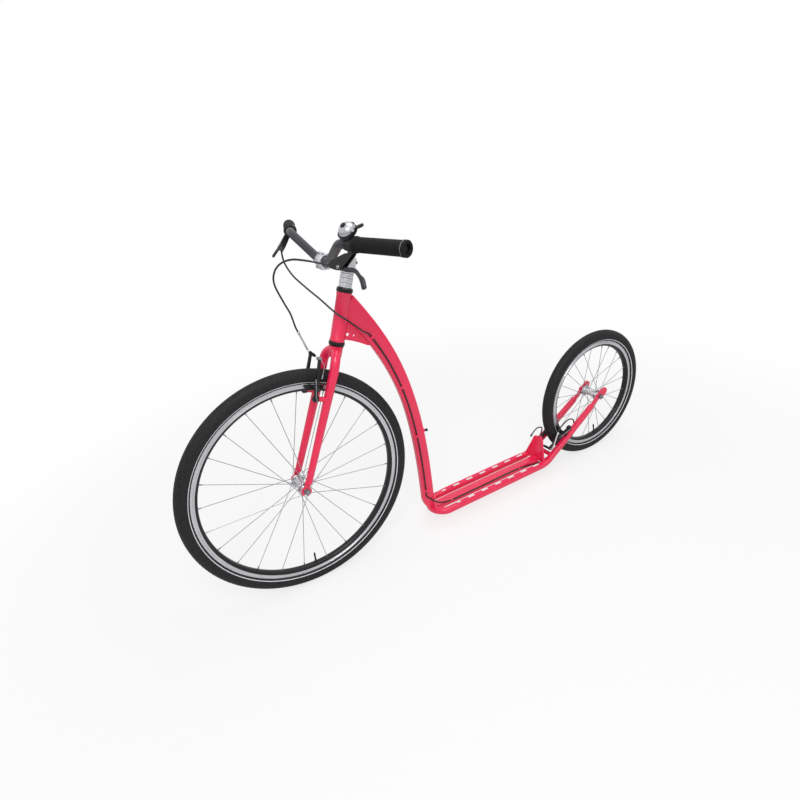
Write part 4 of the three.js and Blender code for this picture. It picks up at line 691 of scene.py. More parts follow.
def hub(prefix, axle, body, fixed):
    place = along_z(axle, LEFTWARD)
    flange_out = (FLANGE_SPACING + FLANGE_THICK) / 2
    flange_in = flange_out - FLANGE_THICK
    end, neck = HUB_LENGTH / 2 - TURNING_GAP, HUB_BARREL * 0.85
    half = [
        (AXLE_RADIUS + 0.6, end - 0.5), (8.2, end), (neck - 1, end - 0.4), (neck, end - 2),
        (neck + 0.4, flange_out + 2), (neck + 2, flange_out), (FLANGE_RADIUS - 0.8, flange_out),
        (FLANGE_RADIUS, flange_out - 0.8), (FLANGE_RADIUS, flange_in + 0.8),
        (FLANGE_RADIUS - 0.8, flange_in), (HUB_BARREL + 2, flange_in),
        (HUB_BARREL, flange_in - 2.5), (HUB_BARREL - 0.8, flange_in - 7),
    ]
    piece(prefix + "_hub_shell", place, [lathe(both_ends(half), 56)], SILVER, body,
          prefix + "_hub", 30)
    tail = UPWARD * (DROPOUT_OUTER + NUT_LENGTH + AXLE_TAIL)
    ends = [rod(-tail, tail, AXLE_RADIUS - 0.3, sides=28)]
    for _, side in HANDS:
        out = UPWARD * side
        start = out * (DROPOUT_OUTER + SEAM)
        ends += [ring_tube(start, start + out * WASHER, 9.6, 4.6),
                 moved(hexagon(8.6, NUT_LENGTH - 2, 1.1), along_z(start + out * WASHER, out))]
        for turn in range(3):
            ridge = out * (DROPOUT_OUTER + NUT_LENGTH + 0.8 + turn * 0.8)
            ends.append(ring_tube(*about(ridge, UPWARD * 0.2), AXLE_RADIUS, 3.5, 0.15, 24))
    piece(prefix + "_axle_and_nuts", place, ends, BOLT, fixed, prefix + "_axle", 25)


def valve(prefix, wheel, axle, angle, body):
    inward = -v(sin(angle), 0, cos(angle))
    bed = inward * (TYRE_HEIGHT + RIM_DEPTH - wheel)
    stem = [rod(bed + inward * low, bed + inward * high, *radii, 20)
            for low, high, *radii in ((0, 3, 5, 4.2), (2, 23, 3, 2.6), (21, 34, 3.2, 2.5))]
    piece(prefix + "_valve_stem", shift(axle), stem, BLACK, body, prefix + "_valve")


for prefix, wheel, axle, angle, fixed in (
    ("front", FRONT_RADIUS, FRONT_AXLE, rad(178), "steering"),
    ("rear", REAR_RADIUS, REAR_AXLE, rad(190), "frame"),
):
    rolling = prefix + "_wheel"
    tyre(prefix, wheel, axle, rolling)
    rim(prefix, wheel, axle, rolling)
    spokes(prefix, wheel, axle, angle, rolling)
    hub(prefix, axle, rolling, fixed)
    valve(prefix, wheel, axle, angle, rolling)

# Rim brakes: the sizes that the fork and the stays share
BRAKES = {
    "front": {"reach": 12, "wheel": FRONT_RADIUS, "turn": 1, "hand": "right", "rise": 52,
              "base": "steering"},
    "rear": {"reach": 19, "wheel": REAR_RADIUS, "turn": -1, "hand": "left", "rise": -60,
             "base": "frame"},
}


def track_radius(wheel):
    return wheel - TYRE_HEIGHT - TRACK_HEIGHT / 2


def arm_pivot_height(wheel):
    return track_radius(wheel) - BOSS_DROP


def brake_boss(foot, pivot):
    out = (pivot - foot).normalized()
    half = out * (ARM_THICK / 2 + SEAM)
    return [rod(foot - out * 4, pivot - half, 7.6, 6.6, 28, 1),
            tinted(rod(pivot - half, pivot + half, 4.4), 1)]


# Fork, in the steering frame
def leg_middle(side, height):
    top = v(LEG_TOP_FORWARD, side * LEG_SPREAD, CROWN_BOTTOM)
    foot = v(LEG_END_FORWARD, side * DROPOUT_MIDDLE, LEG_END_LIFT)
    return top.lerp(foot, (CROWN_BOTTOM - height) / (CROWN_BOTTOM - LEG_END_LIFT))


def fork():
    top = CROWN_TOP * UPWARD
    boss = [(0, -CROWN_HEIGHT / 2), (CROWN_BOSS - 1, -CROWN_HEIGHT / 2), (CROWN_BOSS, 0), (0, 0)]
    crown = [turned(rounded(boss, 2.5), top, UPWARD)]
    for _, side in HANDS:
        low = leg_middle(side, CROWN_BOTTOM)
        shoulder = low + UPWARD * (CROWN_HEIGHT - LEG_TOP)
        way = corner(top - UPWARD * LEG_TOP, shoulder, low, 20)
        crown.append(bar(way + [low - UPWARD * 3], FORWARD, (LEG_TOP, LEG_TOP), 36))
    piece("fork_crown_shoulders", STEER, crown, PINK, "steering", "fork_crown", 60)
    race = ring_tube(top - UPWARD * 2.5, top - UPWARD * 0.2, CROWN_BOSS + 1, 15, 0.9)
    piece("fork_crown_race", STEER, [race], PINK, "steering")
    height = arm_pivot_height(FRONT_RADIUS)
    half = LEG_BOTTOM - 2
    outline = [(-half, LEG_END_LIFT + 6), (-half, 11), *arc(DROPOUT_RADIUS, 150, 248, 7),
               *axle_slot(180, DROPOUT_RADIUS - 1, 9), *arc(DROPOUT_RADIUS, -68, 30, 7),
               (half, 11), (half, LEG_END_LIFT + 6)]
    for name, side in HANDS:
        top, foot = leg_middle(side, CROWN_BOTTOM), leg_middle(side, LEG_END_LIFT)
        root = v(leg_middle(side, height).x, side * BOSS_SPREAD, height)
        pivot = v(RAKE + BRAKES["front"]["reach"], side * BOSS_SPREAD, height)
        leg = [
            bar([top.lerp(foot, k / 12) for k in range(13)], FORWARD,
                lambda t: (lerp(LEG_TOP, LEG_BOTTOM, t),) * 2, 36),
            turned([(0, 0), (5, 0.4), (LEG_BOTTOM, 5), (LEG_BOTTOM, 8), (0, 8)],
                   foot - UPWARD * 6, UPWARD, 36),
            moved(slab(outline, DROPOUT_THICK), shift(v(RAKE, side * DROPOUT_MIDDLE)) @ ON_EDGE),
            *brake_boss(root, pivot),
        ]
        piece("fork_blade_" + name, STEER, leg, [PINK, BOLT], "steering",
              "fork_leg_" + name, 38, 0.5)


# Head, spacers and stem, in the steering frame
def head():
    r, low = HEAD_RADIUS, HEAD_BOTTOM
    half = [(r - 1.8, low), (r + 0.5, low), (r + 0.9, low + 0.6), (r + 0.9, low + 7),
            (r, low + 8.5)]
    piece("head_tube_shell", STEER, [lathe(both_ends(half, low + HEAD_LENGTH / 2), 56)], PINK,
          "frame", "head_tube", 50)
    for name, skirt, lean in (("lower", CROWN_TOP + SEAM + CUP_HEIGHT, -1),
                              ("upper", HEAD_TOP + SEAM, 1)):
        profile = [(CUP_RADIUS - inset, skirt + lean * z) for inset, z in CUP_STEPS]
        piece(f"headset_{name}_cup", STEER, [lathe(profile, 56)], GLOSS_BLACK, "frame",
              "headset_" + name, 28)
    top = STEM_MIDDLE + STEM_CLAMP_HEIGHT / 2 - 1
    column = rod(UPWARD * CROWN_TOP, UPWARD * top, STEERER_RADIUS, sides=40)
    piece("steerer_column", STEER, [column], SILVER, "steering", "steerer_tube")


def spacers():
    pitch, r = SPACER_STACK / SPACER_RINGS, SPACER_RADIUS
    half = ((14.6, 0.25), (r - 1.2, 0.25), (r - 0.2, 0.7), (r, 1.6), (r, pitch / 2 - 0.9),
            (r - 0.7, pitch / 2 - 0.5))
    stack = []
    for low in (SPACER_BOTTOM + i * pitch for i in range(SPACER_RINGS)):
        stack.append(lathe(both_ends([(r, low + z) for r, z in half], low + pitch / 2)))
    piece("stem_spacer_rings", STEER, stack, SILVER, "steering", "stem_spacers", 25)


def stem():
    r, top = STEM_CLAMP_RADIUS, STEM_MIDDLE + STEM_CLAMP_HEIGHT / 2
    low = top - STEM_CLAMP_HEIGHT
    clamp = [(14.5, low), (r - 0.8, low), (r, low + 0.9), (r, top - 1.4), (r - 1, top - 0.3),
             (r - 2, top), (14.5, top)]
    lid = [(0, 1.6), (2.6, 1.6), (2.6, 3), (4.6, 3), (5.4, 2.2), (12, 1.8), (16.4, 0.6),
           (16.6, 0), (0, 0)]
    bore, shell = BAR_CLAMP_RADIUS + 0.1, BAR_CLAMP_RADIUS + BAR_CLAMP_WALL
    half = BAR_CLAMP_WIDTH / 2
    wall = rounded([(bore, -half), (shell, -half), (shell, half), (bore, half)], 1.4)

    def shell_half(start, stop):
        return skin([[BAR_MIDDLE + v(x * radius, y, z * radius) for radius, y in wall]
                     for x, z in arc(1, start, stop, 16)])

    body = [
        lathe(clamp, 52),
        skin([section(v(x, 0, STEM_MIDDLE), LEFTWARD, UPWARD, wide, high, 36, 0.55)
              for x, wide, high in NECK]),
        shell_half(94, 266),
        tinted(turned(lid, UPWARD * (top - 0.1), UPWARD, 44), 2),
    ]
    for rise in (-9, 9):
        middle, out = v(1 - r, 0, STEM_MIDDLE + rise), LEFTWARD * 6.5
        body += [rod(*about(middle, out), 4.6),
                 tinted(socket_bolt(middle + out, LEFTWARD, 3.3), 1)]
    piece("stem_body", STEER, body, [SILVER, BOLT, GLOSS_BLACK], "steering",
          "stem", 38)
    face = [shell_half(-86, 86)]
    for _, side in HANDS:
        for up in (-1, 1):
            place = BAR_MIDDLE + v(shell * 0.52, side * (half - 5), up * (shell - 2.2))
            seat = place + FORWARD * 1.5
            face += [rod(place - FORWARD * 9, seat, 4.3),
                     tinted(socket_bolt(seat, FORWARD, 2.9, 2.4), 1)]
    piece("stem_face", STEER, face, [SILVER, BOLT], "steering",
          "stem_face_plate", 38)


# Handlebar and grips
def bend_place(side):
    return BAR_MIDDLE + v(BEND_FORWARD, side * BEND_OUT, BEND_RISE)


def bar_end(side):
    return BAR_MIDDLE + v(-GRIP_BACK, side * BAR_HALF, GRIP_RISE)


def bar_outward(side):
    return (bar_end(side) - bend_place(side)).normalized()


def handlebar():
    m = BAR_MIDDLE_HALF
    inner = about(BAR_MIDDLE, LEFTWARD * -m)
    ends = [bar_end(side) - bar_outward(side) * 8 for side in (1, -1)]
    way = bent([ends[0], bend_place(1), *inner, bend_place(-1), ends[1]], BEND_RUN, 14)
    sleeve = both_ends([(0, -m - 7), (10.9, -m - 7), (11.3, -m - 5), (12.6, 2 - m),
                        (BAR_CLAMP_RADIUS, 6 - m)])
    tube = [bar(dense(way, 30), FORWARD, (BAR_RADIUS, BAR_RADIUS), 32),
            turned(sleeve, BAR_MIDDLE, LEFTWARD)]
    piece("handlebar_tube", STEER, tube, BAR_GREY, "steering", "handlebar", 40)


def grip(name, side):
    place = STEER @ along_z(bar_end(side), bar_outward(side))
    low, r, bore = -GRIP_LENGTH, GRIP_RADIUS, BAR_RADIUS
    start, stop = low + 12, -14
    pitch = (stop - start) / GRIP_RIBS
    profile = [(BAR_BORE, low), (GRIP_COLLAR - 1, low), (GRIP_COLLAR, low + 1),
               (GRIP_COLLAR, low + 6), (GRIP_COLLAR - 0.8, low + 8), (r - 0.4, low + 9)]
    for z in (start + i * pitch for i in range(GRIP_RIBS)):
        profile += [(r - 0.45, z), (r, z + pitch * 0.3), (r, z + pitch * 0.7),
                    (r - 0.45, z + pitch)]
    profile += [(r - inset, z) for inset, z in GRIP_OUTER_END]
    profile += [(bore - 0.6, 0), (bore - 1, -0.8), (bore - 1, -9), (0, -9), (0, -10.5),
                (bore, -10.5)]
    piece("grip_sleeve_" + name, place, [lathe(profile)], GRIP, "steering",
          "grip_" + name, 32)
    band = ring_tube(UPWARD * -8.5, UPWARD * -7, r + 0.75, r - 0.6, 0.3, 48)
    piece("grip_band_" + name, place, [band], BOLT, "steering")


def bar_frame(side, drop):
    """A frame at a lever's clamp: X outward along the bar, Y towards the lever's pivot."""
    outward = bar_outward(side)
    level, down = v(cos(TILT), 0, sin(TILT)), v(sin(TILT), 0, -cos(TILT))
    reach, up = upright(level * cos(drop) + down * sin(drop), outward)
    return STEER @ basis(outward, reach, -up, bar_end(side) - outward * CLAMP_INBOARD)


def lever(name, side):
    place = bar_frame(side, LEVER_DROPS[name])
    outer, half = BAR_BORE + 4.7, LEVER_CLAMP_WIDTH / 2
    x, y, end = LEVER_PIVOT.x, LEVER_PIVOT.y, BRACKET_END
    cheek = [(-half, outer - 3), (half, outer - 3), (half, outer + 4), (x + 12, y + 3),
             (x + 4, y + 7), (x - 6, y + 7), (end, y + 4), (end, y - 11),
             (-half - 12, outer + 5), (-half, outer + 4)]
    web = [(-half, outer - 3), (half - 1, outer - 3), (half - 2, outer + 3), (x + 17, y - 24),
           (x - 5, y - 12), (x - 10, y + 4), (end + 1, y + 3), (end + 1, y - 10),
           (-half - 12, outer + 4), (-half, outer + 2)]
    clamp_bolt = LEFTWARD * (1 - outer)
    # two cheeks, with the blade between them, on a solid body behind
    mount = [
        ring_tube(FORWARD * -half, FORWARD * half, outer, BAR_BORE, 1),
        slab(web, 11, soft=3),
        rod(v(end + 3, BARREL_OUT), v(end - 5, BARREL_OUT), 6, 5.4, 28, 0.8),
        tinted(rod(v(x, y, -8.2), v(x, y, 8.2), 3.4), 1),
        tinted(socket_bolt(clamp_bolt, -LEFTWARD, 3, 2.6), 1),
        rod(clamp_bolt + v(0, 2, -6), clamp_bolt + v(0, 2, 6), 4.4),
    ]
    for up in (-1, 1):
        mount += [moved(slab(cheek, 3, soft=5, steps=5), shift(UPWARD * up * 6)),
                  tinted(rod(v(x, y, up * 7.2), v(x, y, up * 8.6), 4.6, 4), 1)]
    piece("lever_mount_" + name, place, mount, [BLACK, BOLT], "steering",
          "lever_bracket_" + name, 32, 0.7)
    start, stop = 4.5, BARREL_LENGTH
    knurled = [(0, start), (5.2, start), (5.2, start + 2)]
    for z in (start + 2.4 + i * 2 for i in range(3)):
        knurled += [(4.7, z), (5.2, z + 0.5), (5.2, z + 1.1), (4.7, z + 1.6)]
    knurled += [(4.2, stop - 1.2), (3.7, stop), (0, stop)]
    piece("cable_barrel_" + name, place, [turned(knurled, v(end, BARREL_OUT), -FORWARD, 28)], GREY,
          "steering")

    way = flowing([v(a * LEVER_LENGTH, o * LEVER_LENGTH) for a, o, _ in BLADE], 5)
    shares = [w.x for w in flowing([v(share) for _, _, share in BLADE], 5)]
    wide, thick = LEVER_WIDTH / 2, LEVER_THICK / 2
    rings = [section(point, UPWARD.cross(along), UPWARD, wide * share, thick, 24, 0.7)
             for point, along, share in zip(way, directions(way), shares)]
    along = directions(way)[-1]
    rings += closing(way[-1], along, UPWARD.cross(along), UPWARD, (wide * shares[-1], thick),
                     ((2, 0.93), (3.4, 0.7), (4, 0.35)), 24, 0.8)
    blade = [skin(rings), ring_tube(UPWARD * -thick, UPWARD * thick, 6, 3.5, 0.8),
             rod(v(-9, -3, -2.6), v(-9, -3, 2.6), 3.6)]
    piece("lever_blade_" + name, place @ shift(LEVER_PIVOT), blade, GREY, name + "_lever",
          "brake_lever_" + name, 40)


# Bell
def bell():
    outward = bar_outward(1)
    inboard = CLAMP_INBOARD + (LEVER_CLAMP_WIDTH + BELL_CLAMP_WIDTH) / 2 + 1
    on_bar = bar_end(1) - outward * inboard
    neck, axis = (upright(v(sin(lean), 0, cos(lean)), outward)[0]
                  for lean in (BELL_NECK_LEAN, BELL_LEAN))
    middle = on_bar + neck * BELL_STAND
    local = basis(outward, axis.cross(outward), axis, middle)
    place, half = STEER @ local, outward * (BELL_CLAMP_WIDTH / 2)
    foot = [(0, -2), (7, -2), (8, -1), (8, 2.4), (7.4, 3), (0, 3)]
    mount = [
        ring_tube(*about(on_bar, half), BAR_BORE + 3, BAR_BORE, 0.8),
        rod(on_bar + neck * 12, middle - neck * 2, 6, 4.6, 28, 1),
        tinted(socket_bolt(on_bar - neck * (BAR_BORE + 2.4), -neck, 2.8, 2), 1),
        moved(lathe(foot, 40), local),
        moved(lathe([(0, 2), (2.1, 2), (2.1, 24), (0, 24)], 24), local),
    ]
    piece("bell_mount", STEER, mount, [BLACK, BOLT], "steering", "bell_base", 35)
    cap = [(0, 21.8), (6.4, 21.8), (6.7, 22.9), (6.2, 24.6), (4.4, 25.7), (0, 26.1)]
    piece("bell_cap", place, [lathe(cap, 36)], GLOSS_BLACK, "steering")

    def bowl(wall):
        return [(max((BELL_RADIUS - wall) * x, 2.5), BELL_RIM + (BELL_HEIGHT - wall) * z)
                for x, z in arc(1, 0, 90, 18)]

    lip = [(BELL_RADIUS - 0.8, BELL_RIM - 0.6), (BELL_RADIUS + 0.35, BELL_RIM - 0.4),
           (BELL_RADIUS + 0.4, BELL_RIM + 0.5)]
    dome = lathe(lip + bowl(0)[1:] + bowl(BELL_WALL)[:0:-1], 72)
    piece("bell_dome_shell", place, [dome], BELL, "steering", "bell_dome", 40)
    tray = [(7, -1.4), (20, -1.4), (22, -0.6), (22.6, 0.6), (22.4, 2.4), (7, 2.4)]
    wall = ((21.3, 2), (22.5, 2), (22.7, 8.4), (22.2, 9.2), (21.3, 9.2))
    drum = [lathe(tray, 56),
            skin([[v(x * r, y * r, z) for r, z in wall] for x, y in arc(1, 70, 350, 40)])]
    piece("bell_drum", place, drum, BLACK, "steering")
    outline = [(-3, 4), (3, 4), (3.4, 20), (4.4, 27), (4.6, 36), (2.6, 40), (-2.6, 40),
               (-4.6, 36), (-4.4, 27), (-3.4, 20)]
    thumb = [ring_tube(UPWARD * 3.3, UPWARD * 6.3, 6.2, 2.5, 0.5),
             moved(slab(outline, 3, soft=2, steps=4), shift(UPWARD * 4.8))]
    for along in (28 + k * 2.6 for k in range(4)):
        thumb.append(rod(v(-3.4, along, 6.3), v(3.4, along, 6.3), 0.55, sides=10))
    piece("bell_thumb_lever", place @ Matrix.Rotation(THUMB_TURN, 4, "Z"), thumb, BLACK,
          "bell_thumb", "bell_lever", 35, 0.5)


fork()
head()
spacers()
stem()
handlebar()
for name, side in HANDS:
    grip(name, side)
    lever(name, side)
bell()

# Main tube: a curve from the head to the deck
TUBE_TOP = STEER @ v(0, 0, HEAD_TOP - TUBE_DROP)
TUBE_FOOT = v(-DECK_FRONT, 0, DECK_TOP + SEAM)
TUBE_UPPER = TUBE_TOP - v(cos(TUBE_LEAN), 0, sin(TUBE_LEAN)) * TUBE_TOP_PULL
TUBE_LOWER = TUBE_FOOT + UPWARD * TUBE_FOOT_PULL
FINE = 200
MAIN_POINTS = [
    TUBE_TOP * (1 - t) ** 3 + TUBE_UPPER * (3 * t * (1 - t) ** 2)
    + TUBE_LOWER * (3 * t * t * (1 - t)) + TUBE_FOOT * t**3
    for t in (k / FINE for k in range(FINE + 1))
]


def reaches(points):
    """How far along a way each of its points lies."""
    out = [0.0]
    for a, b in zip(points, points[1:]):
        out.append(out[-1] + (b - a).length)
    return out


MAIN_REACH = reaches(MAIN_POINTS)


def main_at(share):
    goal = share * MAIN_REACH[-1]
    k = next((k for k in range(FINE) if MAIN_REACH[k + 1] >= goal), FINE - 1)
    part = (goal - MAIN_REACH[k]) / (MAIN_REACH[k + 1] - MAIN_REACH[k])
    return MAIN_POINTS[k].lerp(MAIN_POINTS[k + 1], part)


def main_way(share):
    return (main_at(min(share + 0.002, 1)) - main_at(max(share - 0.002, 0))).normalized()


def main_ahead(share):
    return -LEFTWARD.cross(main_way(share))


def beside_tube(share):
    out = TUBE_WIDTH / 2 + CABLE_RADIUS + TURNING_GAP
    return main_at(share) + main_ahead(share) * CABLE_FORWARD + LEFTWARD * out


def main_tube():
    first, stops = 0.012, 96

    def curl(share):
        low = max(0, 1 - (main_at(share).z - DECK_TOP) / FOOT_CURL_HEIGHT)
        return FOOT_CURL * low * low

    def halves(t):
        share = lerp(first, 1, t)
        flare = max(0, 1 - share / FLARE_SHARE)
        return TUBE_WIDTH / 2, lerp(TUBE_DEPTH, TUBE_TOP_DEPTH, flare) / 2 - curl(share)

    shares = [lerp(first, 1, k / stops) for k in range(stops + 1)]
    points = [main_at(share) - FORWARD * curl(share) for share in shares]
    tube = [bar(points, LEFTWARD, halves, 48, 0.42)]
    for share in GUIDE_SHARES:
        way, middle = main_way(share), beside_tube(share)
        root = middle - LEFTWARD * (CABLE_RADIUS + 2)
        foot = slab([(-4, -2.4), (4, -2.4), (4, 2.4), (-4, 2.4)], 2.4, soft=1.2)
        tube += [ring_tube(*about(middle, way * GUIDE_HALF), CABLE_RADIUS + 2.3,
                           CABLE_RADIUS + 0.5, segments=28),
                 moved(foot, basis(way, main_ahead(share), LEFTWARD, root))]
    piece("main_tube_skin", BIKE, tube, PINK, "frame", "main_tube", 50)
    root = v(-DECK_FRONT - TUBE_DEPTH / 2 + 3, 0, DECK_TOP + FOOT_BOSS_RISE)
    # a pink boss on the tube's foot. Its hole is not cut: a black rod fills it and paints the
    # hole's shade
    foot_boss = [ring_tube(root, root + FOOT_BOSS_WAY * FOOT_BOSS_LENGTH, 6.4, 4.4, 1, 28),
            tinted(rod(root, root + FOOT_BOSS_WAY * (FOOT_BOSS_LENGTH - 2), 4.5), 1)]
    piece("foot_boss_painted_hole", BIKE, foot_boss, [PINK, BLACK], "frame")
    share = next(k / 400 for k in range(401) if main_at(k / 400).z < PEG_HEIGHT)
    back = -main_ahead(share)
    root = main_at(share) + back * (TUBE_DEPTH / 2 - 9) + LEFTWARD * 6
    aim = (back + LEFTWARD * PEG_LEFTWARD).normalized()
    end = root + aim * PEG_LENGTH
    peg = [tinted(rod(root, root + aim * 11, 5.2, sides=28), 1),
           rod(root, end, PEG_RADIUS, sides=28, chamfer=0.8),
           rod(end - aim * 4.5, end + aim * 0.3, PEG_RADIUS + 0.8, sides=28, chamfer=1.2)]
    piece("frame_peg_pin", BIKE, peg, [BLACK, PINK], "frame", "frame_peg")


def gusset():
    low = STEER @ v(0, 0, HEAD_BOTTOM + 5)
    tip = low - v(HEAD_RADIUS + GUSSET_REACH, 0, GUSSET_DROP)
    belly = corner(low, low.lerp(tip, 0.5) + UPWARD * 8, tip, 10)
    outline = [(p.x, p.z) for p in (*belly, main_at(0.22), main_at(0.1), TUBE_TOP)]
    holes = [(low.x - HEAD_RADIUS - GUSSET_REACH * back, tip.z + GUSSET_REACH * up, radius)
             for back, up, radius in ((0.18, 0.7, 4.5), (0.46, 0.58, 2.8))]
    piece("gusset_web", ON_EDGE, [slab(outline, GUSSET_THICK, holes)], PINK, "frame",
          "head_gusset", 35, 0.8)
    steps = 30
    heights = [lerp(HEAD_BOTTOM + 8, HEAD_TOP - 10, k / steps) for k in range(steps + 1)]
    swell = [WELD_RADIUS * (1 + 0.25 * sin(k * 1.9)) for k in range(steps + 1)]
    bead = [cord([STEER @ v(-HEAD_RADIUS - 0.2, side * 2.8, z) for z in heights], swell, 8)
            for _, side in HANDS]
    piece("gusset_weld", BIKE, bead, WELD, "frame")


main_tube()
gusset()

# Deck and stays
RAIL_MIDDLE = DECK_TOP - RAIL_HEIGHT / 2
YOKE_CORNER = -DECK_FRONT - YOKE_DEPTH
RAIL_FRONT = YOKE_CORNER - YOKE_BEND - SEAM
KINK = -DECK_FRONT - DECK_LENGTH
STAY_WAY = (REAR_AXLE - v(KINK, 0, RAIL_MIDDLE)).normalized()
STAY_UP = v(STAY_WAY.z, 0, -STAY_WAY.x)
STAYS = basis(STAY_UP, -LEFTWARD, -STAY_WAY, REAR_AXLE)
PLATE_FOOT = KINK + PLATE_AHEAD


def on_stays(x, y, z):
    return STAYS @ v(x, -y, z)


def yoke():
    half = [v(RAIL_FRONT, RAIL_SPREAD, RAIL_MIDDLE), v(YOKE_CORNER, RAIL_SPREAD, RAIL_MIDDLE),
            v(-DECK_FRONT - YOKE_INSET, YOKE_SPREAD, RAIL_MIDDLE)]
    mirrored = [v(p.x, -p.y, p.z) for p in reversed(half)]
    parts = [bar(bent(half + mirrored, YOKE_BEND, 10), UPWARD, (RAIL_HEIGHT / 2, RAIL_WIDTH / 2),
                 40, 0.5)]
    for end in (half[0], mirrored[-1]):
        parts.append(ring_tube(end - FORWARD * 1.4, end + FORWARD * 0.6, 4, 2, 0.4, 12))
    piece("deck_yoke_tube", BIKE, parts, PINK, "frame", "deck_yoke", 50)


def rail(name, side):
    start = v(RAIL_FRONT + 0.15, side * RAIL_SPREAD, RAIL_MIDDLE)
    bend = v(KINK, side * RAIL_SPREAD, RAIL_MIDDLE)
    axle_end = REAR_AXLE + LEFTWARD * side * DROPOUT_MIDDLE
    way = dense(bent([start, bend, axle_end], RAIL_BEND, 12), 30)
    reach = reaches(way)
    straight = (bend - start).length / reach[-1]
    rings = []
    for point, along, gone in zip(way, directions(way), reach):
        taper = max(0, (gone / reach[-1] - straight) / (1 - straight))
        if taper > 0.9:
            break
        across, up = upright(LEFTWARD, along)
        halves = (lerp(RAIL_WIDTH / 2, STAY_TAIL_HALF, taper * taper),
                  lerp(RAIL_HEIGHT / 2, STAY_TAIL_RADIUS, taper))
        rings.append(section(point, across, up, *halves, 40, 0.5))
        end = point, along, across, up, halves
    rings += closing(*end, ((6, 0.96), (11, 0.78), (14, 0.45)), 40, 0.6)
    # the end plate, with its slot for the axle open below
    r, tail = DROPOUT_RADIUS, STAY_TAIL - DROPOUT_RADIUS
    slot_side = degrees(atan2(-STAY_WAY.z, STAY_WAY.x))
    outline = [*((x - tail, y) for x, y in arc(r, 90, 270, 12)), *axle_slot(slot_side, r + 1, 8),
               (r * 0.96, -r * 0.35), (r + 9, -8), (46, -7), (46, 7), (r + 9, 9),
               (r * 0.5, r * 0.95)]
    local = basis(-STAY_WAY, STAY_UP, -STAY_WAY.cross(STAY_UP), axle_end)
    height = arm_pivot_height(REAR_RADIUS)
    parts = [skin(rings), moved(slab(outline, DROPOUT_THICK), local),
             *brake_boss(on_stays(0, side * BOSS_SPREAD, height),
                         on_stays(BRAKES["rear"]["reach"], side * BOSS_SPREAD, height))]
    piece("deck_rail_tube_" + name, BIKE, parts, [PINK, BOLT], "frame",
          "deck_rail_" + name, 45, 0.4)


def beam():
    half = BEAM_WIDTH / 2
    edge = BEAM_WIDTH / PLATE_WIDTH
    start, end = -DECK_FRONT - 20, PLATE_FOOT - PLATE_HOLLOW * (1 - edge * edge)
    middle = v(0, -BEAM_ASIDE, DECK_TOP - BEAM_HEIGHT / 2 - BEAM_DEEPER)
    points = [middle + FORWARD * lerp(start, end, k / 16) for k in range(17)]
    tube = bar(points, LEFTWARD, (half + BEAM_ASIDE, BEAM_HEIGHT / 2 + BEAM_DEEPER), 44, 0.36)
    piece("deck_beam_tube", BIKE, [tube], PINK, "frame", "deck_beam", 50)


def clips():
    for i, x in enumerate(CLIP_PLACES):
        middle = v(x, BEAM_WIDTH / 2 + CABLE_RADIUS + TURNING_GAP, DECK_TOP - CABLE_RADIUS)
        foot = slab([(-3, -2), (3, -2), (3, 2), (-3, 2)], 2, soft=1)
        clip = [ring_tube(*about(middle, FORWARD * 3), CABLE_RADIUS + 1.5, CABLE_RADIUS + 0.3,
                          0.4, 24),
                moved(foot, shift(middle + v(0, -CABLE_RADIUS - 1, 0.6)))]
        piece(f"cable_clip_{i + 1}", BIKE, clip, PINK, "frame")


def strip(name, side):
    low_x, high_x = KINK + RAIL_BEND + STRIP_REAR_GAP, RAIL_FRONT - STRIP_FRONT_GAP
    middle = v((low_x + high_x) / 2, side * RAIL_SPREAD, DECK_TOP + (SEAM + STRIP_THICK) / 2)
    long, wide = (high_x - low_x) / 2, STRIP_WIDTH / 2
    outline = [(-long, -wide), (long, -wide), (long, wide), (-long, wide)]
    piece("deck_grip_strip_" + name, shift(middle), [slab(outline, STRIP_THICK, soft=3, steps=4)],
          CHECKED, "frame", "deck_strip_" + name, 35, 0.25)


def heel_plate():
    rows, columns = 22, 24
    rings, edges = [], ([], [])
    for up in (row / rows for row in range(rows + 1)):
        ease = up * up * (3 - 2 * up)
        half = lerp(PLATE_WIDTH, PLATE_TOP_WIDTH, lerp(up, ease, 0.6)) / 2
        turn = max(0.0, up - 0.9) / 0.1
        half -= PLATE_CORNER * (1 - sqrt(max(0.0, 1 - turn * turn)))
        front = []
        for across in (2 * column / columns - 1 for column in range(columns + 1)):
            x = PLATE_FOOT - PLATE_LEAN * up - PLATE_HOLLOW * (1 - across * across)
            front.append(v(x, across * half, RAIL_MIDDLE + PLATE_HEIGHT * up))
        rings.append(front + [p - FORWARD * PLATE_THICK for p in reversed(front)])
        for edge, end in zip(edges, (front[0], front[-1])):
            edge.append(end - FORWARD * (PLATE_THICK / 2))
    sheet = [skin(rings), *(cord(edge, PLATE_EDGE, 16) for edge in edges)]
    piece("heel_plate_sheet", BIKE, sheet, PINK, "frame", "heel_plate", 40, 0.9)


def bridge():
    middle = v(KINK, 0, RAIL_MIDDLE) + STAY_WAY * BRIDGE_ALONG
    parts = [rod(*about(middle, LEFTWARD * (RAIL_SPREAD - 6)), BRIDGE_RADIUS, sides=40)]
    for way in (LEFTWARD, -LEFTWARD):
        near = middle + way * (RAIL_SPREAD - RAIL_WIDTH / 2)
        parts.append(ring_tube(near - way * 1.6, near + way * 1.2, BRIDGE_RADIUS + 1.2,
                               BRIDGE_RADIUS - 1, 0.9))
    piece("stay_bridge_tube", BIKE, parts, PINK, "frame", "stay_bridge")


yoke()
beam()
heel_plate()
bridge()
clips()
for name, side in HANDS:
    rail(name, side)
    strip(name, side)

# Rim brakes. Each arm's frame stands on its pivot, with X along the pivot and Z away from the
# wheel's axle.
FRAMES = {"front": STEER @ shift(FORWARD * RAKE), "rear": STAYS}
ARM_TIP = BOSS_SPREAD - ARM_TOP_SPREAD + ARM_TOP / 2


